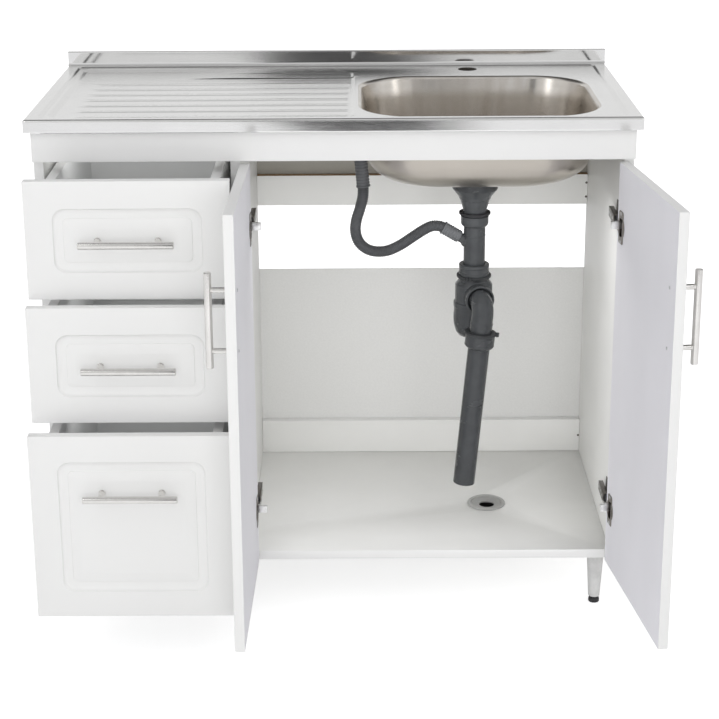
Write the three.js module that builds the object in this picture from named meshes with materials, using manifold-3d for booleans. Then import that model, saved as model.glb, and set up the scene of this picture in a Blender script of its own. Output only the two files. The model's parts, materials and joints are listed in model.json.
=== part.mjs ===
// Kitchen sink unit: a white board cabinet on four short legs, with three drawers on the left,
// a two-door cupboard on the right, and a pressed steel worktop with one bowl and a drainer.
// The doors stand open and the drawers are partly drawn out. Lengths are millimetres and Z is up.
// While it is built, X runs right from the middle of the worktop, Y runs back from its front
// edge, and Z starts at the floor. The last lines move the origin under the middle of the whole.

import * as THREE from 'three';
import { mergeVertices } from 'three/addons/utils/BufferGeometryUtils.js';
import Module from 'manifold-3d';

const wasm = await Module();
wasm.setup();

// ---------------------------------------------------------------- driving dimensions

// Worktop and cabinet
const top_width = 1000;
const top_depth = 500;
const deck_height = 890;
const top_overhang_side = 10;
const board = 16;
const leg_height = 100;
const fascia_setback = 11;
const back_inset = 10.5;
const drawer_bay = 305;
const fascia_drop = 72;
const hardboard = 3;
const fit_gap = 0.3;

// Back of the cabinet
const lower_rail_height = 66;
const upper_rail_height = 58;
const lower_back_height = 391;
const upper_rail_below_deck = 210;

// Pressed steel worktop
const sheet = 1.2;
const rim_drop = 22;
const rim_width_side = 24;
const rim_width_front = 18;
const rim_width_back = 26;
const recess_depth = 3;
const recess_corner = 12;
const upstand_height = 25;
const upstand_thick = 10;
const ridge_count = 7;
const ridge_width = 25;
const ridge_height = 1.6;
const ridge_from_end = 60;
const ridge_to_bowl = 20;
const ridge_front = 50;
const ridge_back = 326;
const tap_hole_radius = 17.5;
const tap_hole_left_of_drain = 1.5;
const tap_hole_from_back = 54;

// Bowl
const bowl_to_side = 36;
const bowl_width = 391;
const bowl_front = 31;
const bowl_length = 342;
const bowl_corner = 90;
const bowl_depth = 146;
const bowl_wall_depth = 84;
const bowl_taper_deg = 5;
const bowl_bend_across = 100;
const bowl_floor_fall = 5;
const waste_hole_radius = 30;
const overflow_cut_reach = 25;
const overflow_hole_radius = 12;
const overflow_below_top = 55;

// Fronts: two doors and three drawer fronts
const front_gap = 3;
const front_below_fascia = 5;
const front_above_underside = 1;
const front_standoff = 3;
const short_front_height = 194.5;
const partition_shows = 9.5;
const side_reveal = 1.5;
const door_open_left_deg = 91;
const door_open_right_deg = 97.5;
const drawer_pull = [105, 140, 190];

// Routing of the fronts, measured in from their edges
const groove_outer = 44;
const groove_floor_outer = 50;
const groove_floor_inner = 58;
const bevel_foot = 61;
const field_edge = 76;
const groove_depth = 4.5;
const bevel_foot_depth = 3.2;
const field_depth = 0.6;
const edge_round = 1;

// Bar handles
const bar_length = 151;
const bar_radius = 6;
const post_radius = 4.5;
const post_spacing = 96;
const bar_standoff = 28;
const drawer_handle_above_middle = [0, 0, 61];
const door_handle_from_free_edge = 30;
const door_handle_from_top = 172;

// Concealed hinges
const pivot_from_edge = 8.5;
const pivot_behind_face = 2;
const hinge_from_end = 105;
const cup_radius = 17.5;
const cup_depth = 11.5;
const cup_from_edge = 22.5;
const cup_wall = 1;
const cup_flange_height = 48;
const cup_flange_width = 24;
const cup_flange_thick = 1;
const arm_nose_lift = 1.6;
const arm_nose_thick = 2.4;
const arm_nose_width = 13;
const arm_nose_tip = 3.8;
const arm_width = 17;
const arm_start = 33;
const arm_end = 92;
const arm_thick = 8;
const plate_height = 50;
const plate_start = 45;
const plate_end = 72;
const plate_thick = 2.5;

// Drawer boxes and runners
const runner_space = 12.5;
const box_side = 16;
const box_below_front_top = 12;
const box_above_front_bottom = [52.5, 52.5, 60];
const box_length = 440;
const box_base = 4;
const box_groove_up = 9;
const box_groove_depth = 7;
const runner_sheet = 1.5;
const runner_height = 28;
const runner_reach = 19;
const runner_length = 400;
const runner_setback = 3;

// Legs and screw feet
const leg_inset_x = 35;
const leg_front_y = 60;
const leg_back_y = 440;
const leg_top_radius = 16;
const leg_foot_radius = 10.2;
const foot_radius = 9.8;
const foot_height = 11;
const foot_stem_radius = 4;
const foot_stem_length = 30;

// Waste, tailpiece, trap and outlet. A drop is measured down from the bowl's underside.
const waste_flange_radius = 42;
const waste_flange_thick = 2;
const strainer_drop = 15;
const strainer_hole_radius = 3.6;
const strainer_hole_ring = 17;
const strainer_hole_count = 8;
const waste_top_radius = 40;
const waste_seat_drop = 60;
const waste_rim_thick = 3;
const waste_wall = 2.2;
const waste_cone_drop = 20;
const waste_throat_drop = 26;
const waste_neck_radius = 25.5;
const waste_collar_thick = 4;
const collar_ring_radius = 27.7;
const pipe_radius = 19;
const pipe_wall = 2;
const waste_spout_radius = 21.5;
const waste_spout_drop = 79.4;
const nut_radius = 24.7;
const nut_height = 18.5;
const nut_lip = 3;
const tail_flange_thick = 2;
const tail_end_drop = 221;
const branch_drop = 121.5;
const branch_rise_deg = 31;
const branch_reach = 46;
const branch_radius = 8.5;
const branch_wall = 1.7;
const trap_top_drop = 154;
const trap_collar_radius = 27;
const trap_ring_radius = 30.5;
const trap_ring_drop = 176;
const trap_shoulder_drop = 184;
const trap_radius = 33;
const trap_cup_radius = 35.5;
const trap_cup_top_drop = 224;
const trap_cup_straight_drop = 263;
const trap_bottom_drop = 289;
const trap_wall = 2.5;
const outlet_drop = 208;
const outlet_yaw_deg = 10;
const outlet_tilt_deg = 5.4;
const socket_radius = 25.5;
const socket_start = 27;
const socket_end = 50;
const elbow_radius = 19.6;
const elbow_start = 38;
const elbow_bend = 24;
const elbow_turn = 50;
const elbow_drop = 62;
const outlet_nut_radius = 26;
const outlet_ring_radius = 28;
const outlet_nut_top = 48;
const outlet_nut_bottom = 78;
const outlet_pipe_above_floor = 86.8;

// Overflow fitting and hose
const overflow_plate_radius = 22;
const overflow_plate_thick = 3;
const overflow_body_radius = 16;
const overflow_body_depth = 23;
const spigot_from_wall = 13.3;
const spigot_drop = 36;
const hose_radius = 10;
const hose_route = [
  [42.0, 202, 794.7],
  [43.3, 202, 780.0],
  [45.4, 202, 756.0],
  [47.6, 202, 731.0],
  [47.0, 202, 708.0],
  [41.6, 202, 686.0],
  [35.6, 202, 666.0],
  [34.0, 202, 646.0],
  [39.6, 202, 627.5],
  [52.6, 202, 614.6],
  [70.0, 202, 609.2],
  [90.5, 202, 610.8],
  [112.0, 202, 620.5],
  [133.0, 202, 634.5],
  [151.5, 202, 647.0],
  [167.0, 202, 654.6],
  [182.0, 202, 654.6],
  [193.0, 202, 649.1],
  [202.8, 202, 643.3],
];

// Pipe grommet in the floor of the cupboard
const grommet_right_of_drain = 30.5;
const grommet_behind_drain = 23;
const grommet_flange_radius = 35;
const grommet_hole_radius = 30;
const grommet_flange_thick = 3;
const grommet_port_radius = 14;
const grommet_port_forward = 9;

// Facets: round a circle, round a small circle, and in a quarter turn
const facets = 20;
const small_facets = 12;
const corner_facets = 3;
const bowl_facets = 5;
const ridge_facets = 2;

// ---------------------------------------------------------------- worked-out sizes

const deg = THREE.MathUtils.degToRad;
const cabinet_width = top_width - 2 * top_overhang_side;
const recess_top = deck_height - recess_depth;
const carcass_top = recess_top - sheet - fit_gap;
const carcass_front = fascia_setback + board;
const carcass_back = top_depth - back_inset;
const inner_right = cabinet_width / 2 - board;
const inner_left = -inner_right;
const partition_left = inner_left + drawer_bay;
const partition_right = partition_left + board;
const cupboard_left = partition_left + partition_shows;
const floor_top = leg_height + board;
const fascia_bottom = deck_height - fascia_drop;
const front_face = carcass_front - front_standoff - board;
const front_right = cabinet_width / 2 - side_reveal;
const door_width = (front_right - cupboard_left - front_gap) / 2;
const drawer_left = -front_right;
const drawer_right = cupboard_left - front_gap;
const front_top = fascia_bottom - front_below_fascia;
const front_bottom = leg_height + front_above_underside;
const door_height = front_top - front_bottom;
const bowl_right = inner_right - bowl_to_side;
const bowl_left = bowl_right - bowl_width;
const ridge_left = -top_width / 2 + ridge_from_end;
const ridge_right = bowl_left - ridge_to_bowl;
const bowl_middle_x = bowl_left + bowl_width / 2;
const bowl_middle_y = bowl_front + bowl_length / 2;
const bowl_bottom = recess_top - bowl_depth;
const drain_x = bowl_middle_x;
const drain_y = bowl_middle_y;
const tap_hole_x = drain_x - tap_hole_left_of_drain;
const tap_hole_y = top_depth - tap_hole_from_back;
const grommet_x = drain_x + grommet_right_of_drain;
const grommet_y = drain_y + grommet_behind_drain;
const tail_end = bowl_bottom - tail_end_drop;
const branch_height = bowl_bottom - branch_drop;
const trap_top = bowl_bottom - trap_top_drop;
const trap_ring_height = bowl_bottom - trap_ring_drop;
const trap_shoulder = bowl_bottom - trap_shoulder_drop;
const trap_cup_top = bowl_bottom - trap_cup_top_drop;
const trap_cup_straight = bowl_bottom - trap_cup_straight_drop;
const trap_bottom = bowl_bottom - trap_bottom_drop;
const outlet_height = bowl_bottom - outlet_drop;
const outlet_pipe_end = floor_top + outlet_pipe_above_floor;

// ---------------------------------------------------------------- materials

const paint = (color, roughness, metalness = 0) =>
  new THREE.MeshStandardMaterial({ color, roughness, metalness });
const white_front = () => paint(0xf1f1ef, 0.35);
const white_board = () => paint(0xe9e9e6, 0.5);
const grey_lining = () => paint(0xd6d6d2, 0.55);
const back_sheet = () => paint(0xd2d2cd, 0.6);
const pressed_steel = () => paint(0xc9c8c5, 0.28, 1);
const bar_steel = () => paint(0xbdbcb8, 0.3, 1);
const zinc_steel = () => paint(0x9a958e, 0.35, 1);
const drain_plastic = () => paint(0x55575b, 0.45);
const hose_plastic = () => paint(0x4b4c50, 0.5);
const black_plastic = () => paint(0x161616, 0.5);
const grey_plastic = () => paint(0x8e9092, 0.45);

// ---------------------------------------------------------------- solids

// Turns a closed mesh into a solid that can be cut and joined.
function solid(geometry) {
  let bare = geometry.clone();
  for (const name of Object.keys(bare.attributes)) {
    if (name !== 'position') bare.deleteAttribute(name);
  }
  bare = mergeVertices(bare, 1e-4);
  const vertProperties = new Float32Array(bare.attributes.position.array);
  const triVerts = new Uint32Array(bare.index.array);
  return new wasm.Manifold(new wasm.Mesh({ numProp: 3, vertProperties, triVerts }));
}

function surface(body) {
  const mesh = body.getMesh();
  const geometry = new THREE.BufferGeometry();
  geometry.setAttribute('position', new THREE.BufferAttribute(mesh.vertProperties, 3));
  geometry.setIndex(new THREE.BufferAttribute(mesh.triVerts, 1));
  geometry.computeVertexNormals();
  return geometry;
}

const joined = (parts) => surface(parts.map(solid).reduce((whole, next) => whole.add(next)));
const cut = (base, tools) =>
  surface(tools.map(solid).reduce((whole, tool) => whole.subtract(tool), solid(base)));

// Turns the faces of a closed mesh outwards if its volume comes out negative.
function outward(geometry) {
  const at = geometry.attributes.position;
  const index = geometry.index ? geometry.index.array : [...Array(at.count).keys()];
  const [a, b, c] = [new THREE.Vector3(), new THREE.Vector3(), new THREE.Vector3()];
  let volume = 0;
  for (let i = 0; i < index.length; i += 3) {
    a.fromBufferAttribute(at, index[i]);
    b.fromBufferAttribute(at, index[i + 1]);
    c.fromBufferAttribute(at, index[i + 2]);
    volume += a.dot(b.cross(c));
  }
  if (volume > 0) return geometry;
  const flipped = Array.from(index);
  for (let i = 0; i < flipped.length; i += 3) {
    [flipped[i + 1], flipped[i + 2]] = [flipped[i + 2], flipped[i + 1]];
  }
  geometry.setIndex(flipped);
  geometry.computeVertexNormals();
  return geometry;
}

function block(x0, x1, y0, y1, z0, z1) {
  const geometry = new THREE.BoxGeometry(x1 - x0, y1 - y0, z1 - z0);
  return geometry.translate((x0 + x1) / 2, (y0 + y1) / 2, (z0 + z1) / 2);
}

// A flat outline in X and Y, raised from z0 to z1.
function raised(shape, z0, z1) {
  const geometry = new THREE.ExtrudeGeometry(shape, { depth: z1 - z0, bevelEnabled: false });
  return geometry.translate(0, 0, z0);
}

// A round piece about a vertical axis through the origin, from its closed [radius, height] outline.
function turned(outline, steps = facets) {
  const points = outline.map(([r, z]) => new THREE.Vector2(r, z));
  const geometry = new THREE.LatheGeometry(points, steps);
  geometry.rotateX(Math.PI / 2);
  return outward(geometry);
}

function drum(radius, z0, z1, steps = facets) {
  return turned([[0, z0], [radius, z0], [radius, z1], [0, z1]], steps);
}

// A round bar between two points.
function rod(from, to, radius, steps = facets) {
  const a = new THREE.Vector3(...from);
  const along = new THREE.Vector3(...to).sub(a);
  const geometry = drum(radius, 0, along.length(), steps);
  const up = new THREE.Vector3(0, 0, 1);
  geometry.applyQuaternion(new THREE.Quaternion().setFromUnitVectors(up, along.normalize()));
  return geometry.translate(a.x, a.y, a.z);
}

// A round section swept along a curve.
function swept(curve, radius, steps, sides) {
  const section = new THREE.Shape();
  section.absarc(0, 0, radius, 0, 2 * Math.PI, false);
  return outward(new THREE.ExtrudeGeometry(section, {
    steps,
    extrudePath: curve,
    curveSegments: sides / 2,
    bevelEnabled: false,
  }));
}

// A rectangle with round corners as a loop of points, all loops with the same number of points.
function roundLoop(width, height, radius, steps = corner_facets) {
  const points = [];
  const quarter = Math.PI / 2;
  const corners = [[1, 1], [-1, 1], [-1, -1], [1, -1]];
  for (const [turn, [sx, sy]] of corners.entries()) {
    const cx = sx * (width / 2 - radius);
    const cy = sy * (height / 2 - radius);
    for (let i = 0; i <= steps; i += 1) {
      const angle = quarter * (turn + i / steps);
      points.push([cx + radius * Math.cos(angle), cy + radius * Math.sin(angle)]);
    }
  }
  return points;
}

function roundShape(x0, x1, y0, y1, radius, steps = corner_facets) {
  const middle = [(x0 + x1) / 2, (y0 + y1) / 2];
  const loop = roundLoop(x1 - x0, y1 - y0, radius, steps);
  return new THREE.Shape(loop.map(([x, y]) => new THREE.Vector2(x + middle[0], y + middle[1])));
}

// Skins a closed solid over loops of 3-D points, with a flat cap on the first and the last.
function skinned(loops) {
  const count = loops[0].length;
  const positions = [];
  const index = [];
  for (const loop of loops) positions.push(...loop.flat());
  for (let row = 0; row + 1 < loops.length; row += 1) {
    for (let i = 0; i < count; i += 1) {
      const a = row * count + i;
      const b = row * count + (i + 1) % count;
      index.push(a, b, b + count, a, b + count, a + count);
    }
  }
  const last = (loops.length - 1) * count;
  for (let i = 1; i + 1 < count; i += 1) {
    index.push(0, i + 1, i);
    index.push(last, last + i, last + i + 1);
  }
  const geometry = new THREE.BufferGeometry();
  geometry.setAttribute('position', new THREE.Float32BufferAttribute(positions, 3));
  geometry.setIndex(index);
  return outward(geometry);
}

// ---------------------------------------------------------------- the assembly

const unit = new THREE.Group();

function place(name, geometry, material, parent = unit) {
  const mesh = new THREE.Mesh(geometry, material);
  mesh.name = name;
  parent.add(mesh);
  return mesh;
}

function group(x, y, z, parent = unit) {
  const made = new THREE.Group();
  made.position.set(x, y, z);
  parent.add(made);
  return made;
}

// ---- cabinet boards

function buildCarcass() {
  const half = cabinet_width / 2;
  const [front, back] = [carcass_front, carcass_back];
  const side = (x) => block(x, x + board, front, back, leg_height, carcass_top);
  place('side_left', side(-half), white_board());
  place('side_right', side(half - board), white_board());
  const stands = floor_top + fit_gap;
  const partition_x = [partition_left, partition_right];
  place('partition', block(...partition_x, front, back, stands, carcass_top), white_board());

  const floor_x = [inner_left + fit_gap, inner_right - fit_gap];
  const floor = block(...floor_x, front, back, leg_height, floor_top);
  const hole = drum(grommet_hole_radius, leg_height - 1, floor_top + 1);
  hole.translate(grommet_x, grommet_y, 0);
  place('bottom_panel', cut(floor, [hole]), white_board());

  const fascia_y = [fascia_setback, carcass_front - fit_gap];
  place('front_rail', block(-half, half, ...fascia_y, fascia_bottom, carcass_top), white_front());

  const rail_x = [partition_right + fit_gap, inner_right - fit_gap];
  const rail_y = [carcass_back - board, carcass_back];
  const low = [stands, stands + lower_rail_height];
  const upper_rail_top = deck_height - upper_rail_below_deck;
  const high = [upper_rail_top - upper_rail_height, upper_rail_top];
  const lower_back_top = leg_height + lower_back_height;
  place('back_rail_lower', block(...rail_x, ...rail_y, ...low), white_board());
  place('back_rail_upper', block(...rail_x, ...rail_y, ...high), white_board());

  const sheet_x = [-half + 2, half - 2];
  const sheet_y = [carcass_back + fit_gap, carcass_back + fit_gap + hardboard];
  place('back_panel_lower', block(...sheet_x, ...sheet_y, leg_height, lower_back_top), back_sheet());
  place('back_panel_upper', block(...sheet_x, ...sheet_y, high[0], carcass_top), back_sheet());
}

// ---- pressed worktop with its bowl

function buildWorktop() {
  const half = top_width / 2;
  const bottom = deck_height - rim_drop;
  const recess_x = half - rim_width_side;
  const recess_y = [rim_width_front, top_depth - rim_width_back];
  const recess = (grow, z0, z1) => raised(
    roundShape(-recess_x - grow, recess_x + grow, recess_y[0] - grow, recess_y[1] + grow,
      recess_corner + grow), z0, z1);
  const slab = block(-half, half, 0, top_depth, bottom, deck_height);
  const inner = [-half + sheet, half - sheet, sheet, top_depth - sheet];
  const hollow = cut(block(...inner, bottom - 1, deck_height - sheet),
    [recess(sheet, recess_top - sheet, deck_height + 1)]);

  const upstand_front = top_depth - upstand_thick;
  const upstand_top = deck_height + upstand_height;
  const upstand = block(-half, half, upstand_front, top_depth, deck_height - sheet, upstand_top);
  const fold = block(-half + sheet, half - sheet, upstand_front + sheet, top_depth - sheet,
    bottom - 1, upstand_top - sheet);

  const opening = raised(roundShape(bowl_left, bowl_left + bowl_width, bowl_front,
    bowl_front + bowl_length, bowl_corner, bowl_facets), recess_top - 3 * sheet, deck_height);
  const tap = drum(tap_hole_radius, recess_top - 3 * sheet, deck_height);
  tap.translate(tap_hole_x, tap_hole_y, 0);

  const pressed = cut(joined([slab, upstand]),
    [recess(0, recess_top, deck_height + 1), hollow, fold, opening, tap]);

  const tops = [];
  const undersides = [];
  const pitch = (ridge_back - ridge_front) / (ridge_count - 1);
  for (let i = 0; i < ridge_count; i += 1) {
    const y = ridge_front + i * pitch;
    const rib = (width, z0, z1) => raised(roundShape(ridge_left, ridge_right,
      y - width / 2, y + width / 2, width / 2 - 0.01, ridge_facets), z0, z1);
    tops.push(rib(ridge_width, recess_top - sheet / 2, recess_top + ridge_height));
    undersides.push(rib(ridge_width - 2 * sheet, recess_top - 2 * sheet,
      recess_top + ridge_height - sheet));
  }
  place('sink_top', cut(joined([pressed, ...tops]), undersides), pressed_steel());
}

// How far the bowl's outer skin has drawn in at each depth, from the rim to the floor.
function bowlProfile() {
  const slope = Math.tan(deg(bowl_taper_deg));
  const bend_down = bowl_depth - bowl_floor_fall - bowl_wall_depth;
  const profile = [[0, 0], [bowl_wall_depth * slope, bowl_wall_depth]];
  for (let i = 1; i <= bowl_facets; i += 1) {
    const turn = Math.PI / 2 * i / bowl_facets;
    const drawn = bowl_wall_depth * slope + bowl_bend_across * (1 - Math.cos(turn));
    profile.push([drawn, bowl_wall_depth + bend_down * Math.sin(turn)]);
  }
  return profile;
}

function bowlSkin(thickness, lift) {
  const loops = bowlProfile().map(([drawn, depth]) => {
    const inset = drawn + thickness + fit_gap;
    const corner = bowl_corner - 0.35 * drawn - thickness;
    const loop = roundLoop(bowl_width - 2 * inset, bowl_length - 2 * inset, corner, bowl_facets);
    const z = recess_top - depth + (depth > 0 ? lift : 0);
    return loop.map(([x, y]) => [bowl_middle_x + x, bowl_middle_y + y, z]);
  });
  const seat = waste_flange_radius + 3;
  const seat_loop = roundLoop(2 * seat, 2 * seat, 0.96 * seat, bowl_facets);
  loops.push(seat_loop.map(([x, y]) => [drain_x + x, drain_y + y, bowl_bottom + lift]));
  if (thickness > 0) loops.unshift(loops[0].map(([x, y, z]) => [x, y, z + 5]));
  return skinned(loops);
}

function buildBowl() {
  const waste_hole = drum(waste_hole_radius, bowl_bottom - 5, bowl_bottom + 5);
  waste_hole.translate(drain_x, drain_y, 0);
  const overflow_z = recess_top - overflow_below_top;
  const overflow = rod([bowl_left - overflow_cut_reach, drain_y, overflow_z],
    [bowl_left + overflow_cut_reach, drain_y, overflow_z], overflow_hole_radius);
  const bowl = cut(bowlSkin(0, 0), [bowlSkin(sheet, sheet), waste_hole, overflow]);
  place('sink_bowl', bowl, pressed_steel());
}

// ---- legs with screw feet

function buildLegs() {
  const leg = turned([
    [foot_stem_radius + fit_gap, foot_height + fit_gap],
    [leg_foot_radius, foot_height + fit_gap],
    [leg_top_radius, leg_height - fit_gap],
    [0, leg_height - fit_gap],
    [0, foot_height + foot_stem_length + 5],
    [foot_stem_radius + fit_gap, foot_height + foot_stem_length + 5],
    [foot_stem_radius + fit_gap, foot_height + fit_gap],
  ], small_facets);
  const foot = turned([
    [0, 0],
    [foot_radius, 0],
    [foot_radius, foot_height * 0.55],
    [foot_radius * 0.75, foot_height],
    [foot_stem_radius, foot_height],
    [foot_stem_radius, foot_height + foot_stem_length],
    [0, foot_height + foot_stem_length],
  ], small_facets);
  const leg_x = cabinet_width / 2 - leg_inset_x;
  for (const [row, y] of [['front', leg_front_y], ['back', leg_back_y]]) {
    for (const [hand, x] of [['left', -leg_x], ['right', leg_x]]) {
      const spot = group(x, y, 0);
      place(`leg_${row}_${hand}`, leg.clone(), white_board(), spot);
      place(`foot_${row}_${hand}`, foot.clone(), black_plastic(), spot);
    }
  }
}

// ---- fronts and handles

// A routed board standing in X and Z about the origin, its show face at y = 0.
function routedFront(width, height) {
  const steps = [
    [field_edge, field_depth, 4],
    [bevel_foot, bevel_foot_depth, 8],
    [groove_floor_inner, groove_depth, 10],
    [groove_floor_outer, groove_depth, 15],
    [groove_outer, 0, 20],
    [edge_round, 0, edge_round],
    [0, edge_round, edge_round],
    [0, board, edge_round],
  ];
  return skinned(steps.map(([inset, y, radius]) => {
    const loop = roundLoop(width - 2 * inset, height - 2 * inset, radius);
    return loop.map(([x, z]) => [x, y, z]);
  }));
}

// A bar on two posts. The bar runs along X; the front it is screwed to lies at y = 0.
function barHandle() {
  const half = bar_length / 2;
  const bar = rod([-half, -bar_standoff, 0], [half, -bar_standoff, 0], bar_radius, small_facets);
  const posts = [-1, 1].map((side) => {
    const x = side * post_spacing / 2;
    return rod([x, -fit_gap, 0], [x, -bar_standoff, 0], post_radius, 8);
  });
  return joined([bar, ...posts]);
}

// ---- doors: side is the way the door runs from its pivot when shut, +1 right and -1 left

function hingeCup() {
  const inner = cup_radius - fit_gap - cup_wall;
  const top = fit_gap + cup_flange_thick;
  const cup = drum(cup_radius - fit_gap, -cup_depth, top, small_facets);
  cup.rotateX(-Math.PI / 2);
  const plate = block(-cup_flange_width / 2, cup_flange_width / 2, fit_gap, top,
    -cup_flange_height / 2, cup_flange_height / 2);
  const mouth = drum(inner, -cup_depth + cup_wall, top + 1, small_facets);
  mouth.rotateX(-Math.PI / 2);
  return cut(joined([cup, plate]), [mouth]);
}

// The arm that the cupboard side carries, drawn in the pivot's frame for a door running along +X.
function hingeArm(wall_x) {
  const nose_x = board - pivot_behind_face + arm_nose_lift;
  const nose_back = nose_x + arm_nose_thick;
  const [half, nose_half] = [arm_width / 2, arm_nose_width / 2];
  const nose = block(nose_x, nose_back, arm_nose_tip, arm_start + 5, -nose_half, nose_half);
  const arm = block(nose_back - arm_thick, nose_back, arm_start, arm_end, -half, half);
  const under = wall_x + fit_gap;
  const lift = block(under + plate_thick / 2, nose_back - arm_thick / 2, plate_start + 2,
    plate_end - 2, -half + 1, half - 1);
  const plate = block(under, under + plate_thick, plate_start, plate_end,
    -plate_height / 2, plate_height / 2);
  return joined([nose, arm, lift, plate]);
}

function buildDoor(hand, side, hinge_edge, wall_x, open_deg) {
  const pivot_x = hinge_edge + side * pivot_from_edge;
  const pivot_y = front_face + pivot_behind_face;
  const door = group(pivot_x, pivot_y, 0);
  door.rotation.z = -side * deg(open_deg);
  const middle_x = side * (door_width / 2 - pivot_from_edge);
  const middle_z = (front_top + front_bottom) / 2;
  const back_y = board - pivot_behind_face;
  const cup_x = side * (cup_from_edge - pivot_from_edge);
  const levels = [['upper', front_top - hinge_from_end], ['lower', front_bottom + hinge_from_end]];

  const panel = routedFront(door_width, door_height);
  panel.translate(middle_x, -pivot_behind_face, middle_z);
  const bores = levels.map(([, z]) => {
    const bore = drum(cup_radius, 0, cup_depth + fit_gap + 2, small_facets);
    bore.rotateX(Math.PI / 2);
    return bore.translate(cup_x, back_y + 2, z);
  });
  place(`door_${hand}`, cut(panel, bores), white_front(), door);

  const handle = barHandle();
  handle.rotateY(Math.PI / 2);
  handle.translate(side * (door_width - pivot_from_edge - door_handle_from_free_edge),
    -pivot_behind_face, front_top - door_handle_from_top);
  place(`door_handle_${hand}`, handle, bar_steel(), door);

  for (const [level, z] of levels) {
    const cup = hingeCup().translate(cup_x, back_y, z);
    place(`hinge_cup_${hand}_${level}`, cup, zinc_steel(), door);
    const arm = hingeArm(side * (wall_x - pivot_x));
    if (side < 0) arm.scale(-1, 1, 1);
    const mount = group(pivot_x, pivot_y, z);
    place(`hinge_arm_${hand}_${level}`, outward(arm), zinc_steel(), mount);
  }
}

// ---- drawers

function drawerBox(height) {
  const half = (partition_left - inner_left) / 2 - runner_space;
  const inner = half - box_side;
  const outline = new THREE.Shape([
    [-half, 0], [-inner, 0], [-inner, box_length - box_side], [inner, box_length - box_side],
    [inner, 0], [half, 0], [half, box_length], [-half, box_length],
  ].map(([x, y]) => new THREE.Vector2(x, y)));
  const reach = inner + box_groove_depth;
  const groove = block(-reach, reach, -1, box_length - box_side + box_groove_depth,
    box_groove_up, box_groove_up + box_base + 2 * fit_gap);
  const base = block(-reach + fit_gap, reach - fit_gap, 0,
    box_length - box_side + box_groove_depth - fit_gap,
    box_groove_up + fit_gap, box_groove_up + fit_gap + box_base);
  return { walls: cut(raised(outline, 0, height), [groove]), base };
}

// A bent steel runner: its web stands on the wall at x = 0, its flange reaches out under the box.
function runner(side) {
  const out = (x) => side * (fit_gap + x);
  const profile = new THREE.Shape([
    [0, 0], [runner_reach, 0], [runner_reach, runner_sheet], [runner_sheet, runner_sheet],
    [runner_sheet, runner_height], [0, runner_height],
  ].map(([x, z]) => new THREE.Vector2(out(x), z)));
  const geometry = raised(profile, 0, runner_length);
  geometry.rotateX(Math.PI / 2);
  return outward(geometry.translate(0, runner_length, 0));
}

function buildDrawers() {
  const names = ['top', 'middle', 'bottom'];
  const tall = front_top - front_bottom - 2 * (short_front_height + front_gap);
  const heights = [short_front_height, short_front_height, tall];
  const middle_x = (inner_left + partition_left) / 2;
  const front_x = (drawer_left + drawer_right) / 2;
  let top = front_top;
  for (let i = 0; i < names.length; i += 1) {
    const name = names[i];
    const drawer = group(0, front_face - drawer_pull[i], 0);
    const middle_z = top - heights[i] / 2;
    const front = routedFront(drawer_right - drawer_left, heights[i]);
    place(`drawer_front_${name}`, front.translate(front_x, 0, middle_z), white_front(), drawer);
    const handle = barHandle();
    handle.translate(front_x, 0, middle_z + drawer_handle_above_middle[i]);
    place(`drawer_handle_${name}`, handle, bar_steel(), drawer);

    const box_z = top - heights[i] + box_above_front_bottom[i];
    const { walls, base } = drawerBox(top - box_below_front_top - box_z);
    const box_y = board + fit_gap;
    place(`drawer_box_${name}`, walls.translate(middle_x, box_y, box_z), grey_lining(), drawer);
    place(`drawer_bottom_${name}`, base.translate(middle_x, box_y, box_z), grey_lining(), drawer);

    const runner_y = carcass_front + runner_setback;
    const runner_z = box_z - fit_gap - runner_sheet;
    for (const [hand, side, wall] of [['left', 1, inner_left], ['right', -1, partition_left]]) {
      const rail = runner(side).translate(wall, runner_y, runner_z);
      place(`runner_${name}_${hand}`, rail, zinc_steel());
    }
    top -= heights[i] + front_gap;
  }
}

// ---- waste, tailpiece and trap, all about one vertical axis under the bowl

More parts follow.
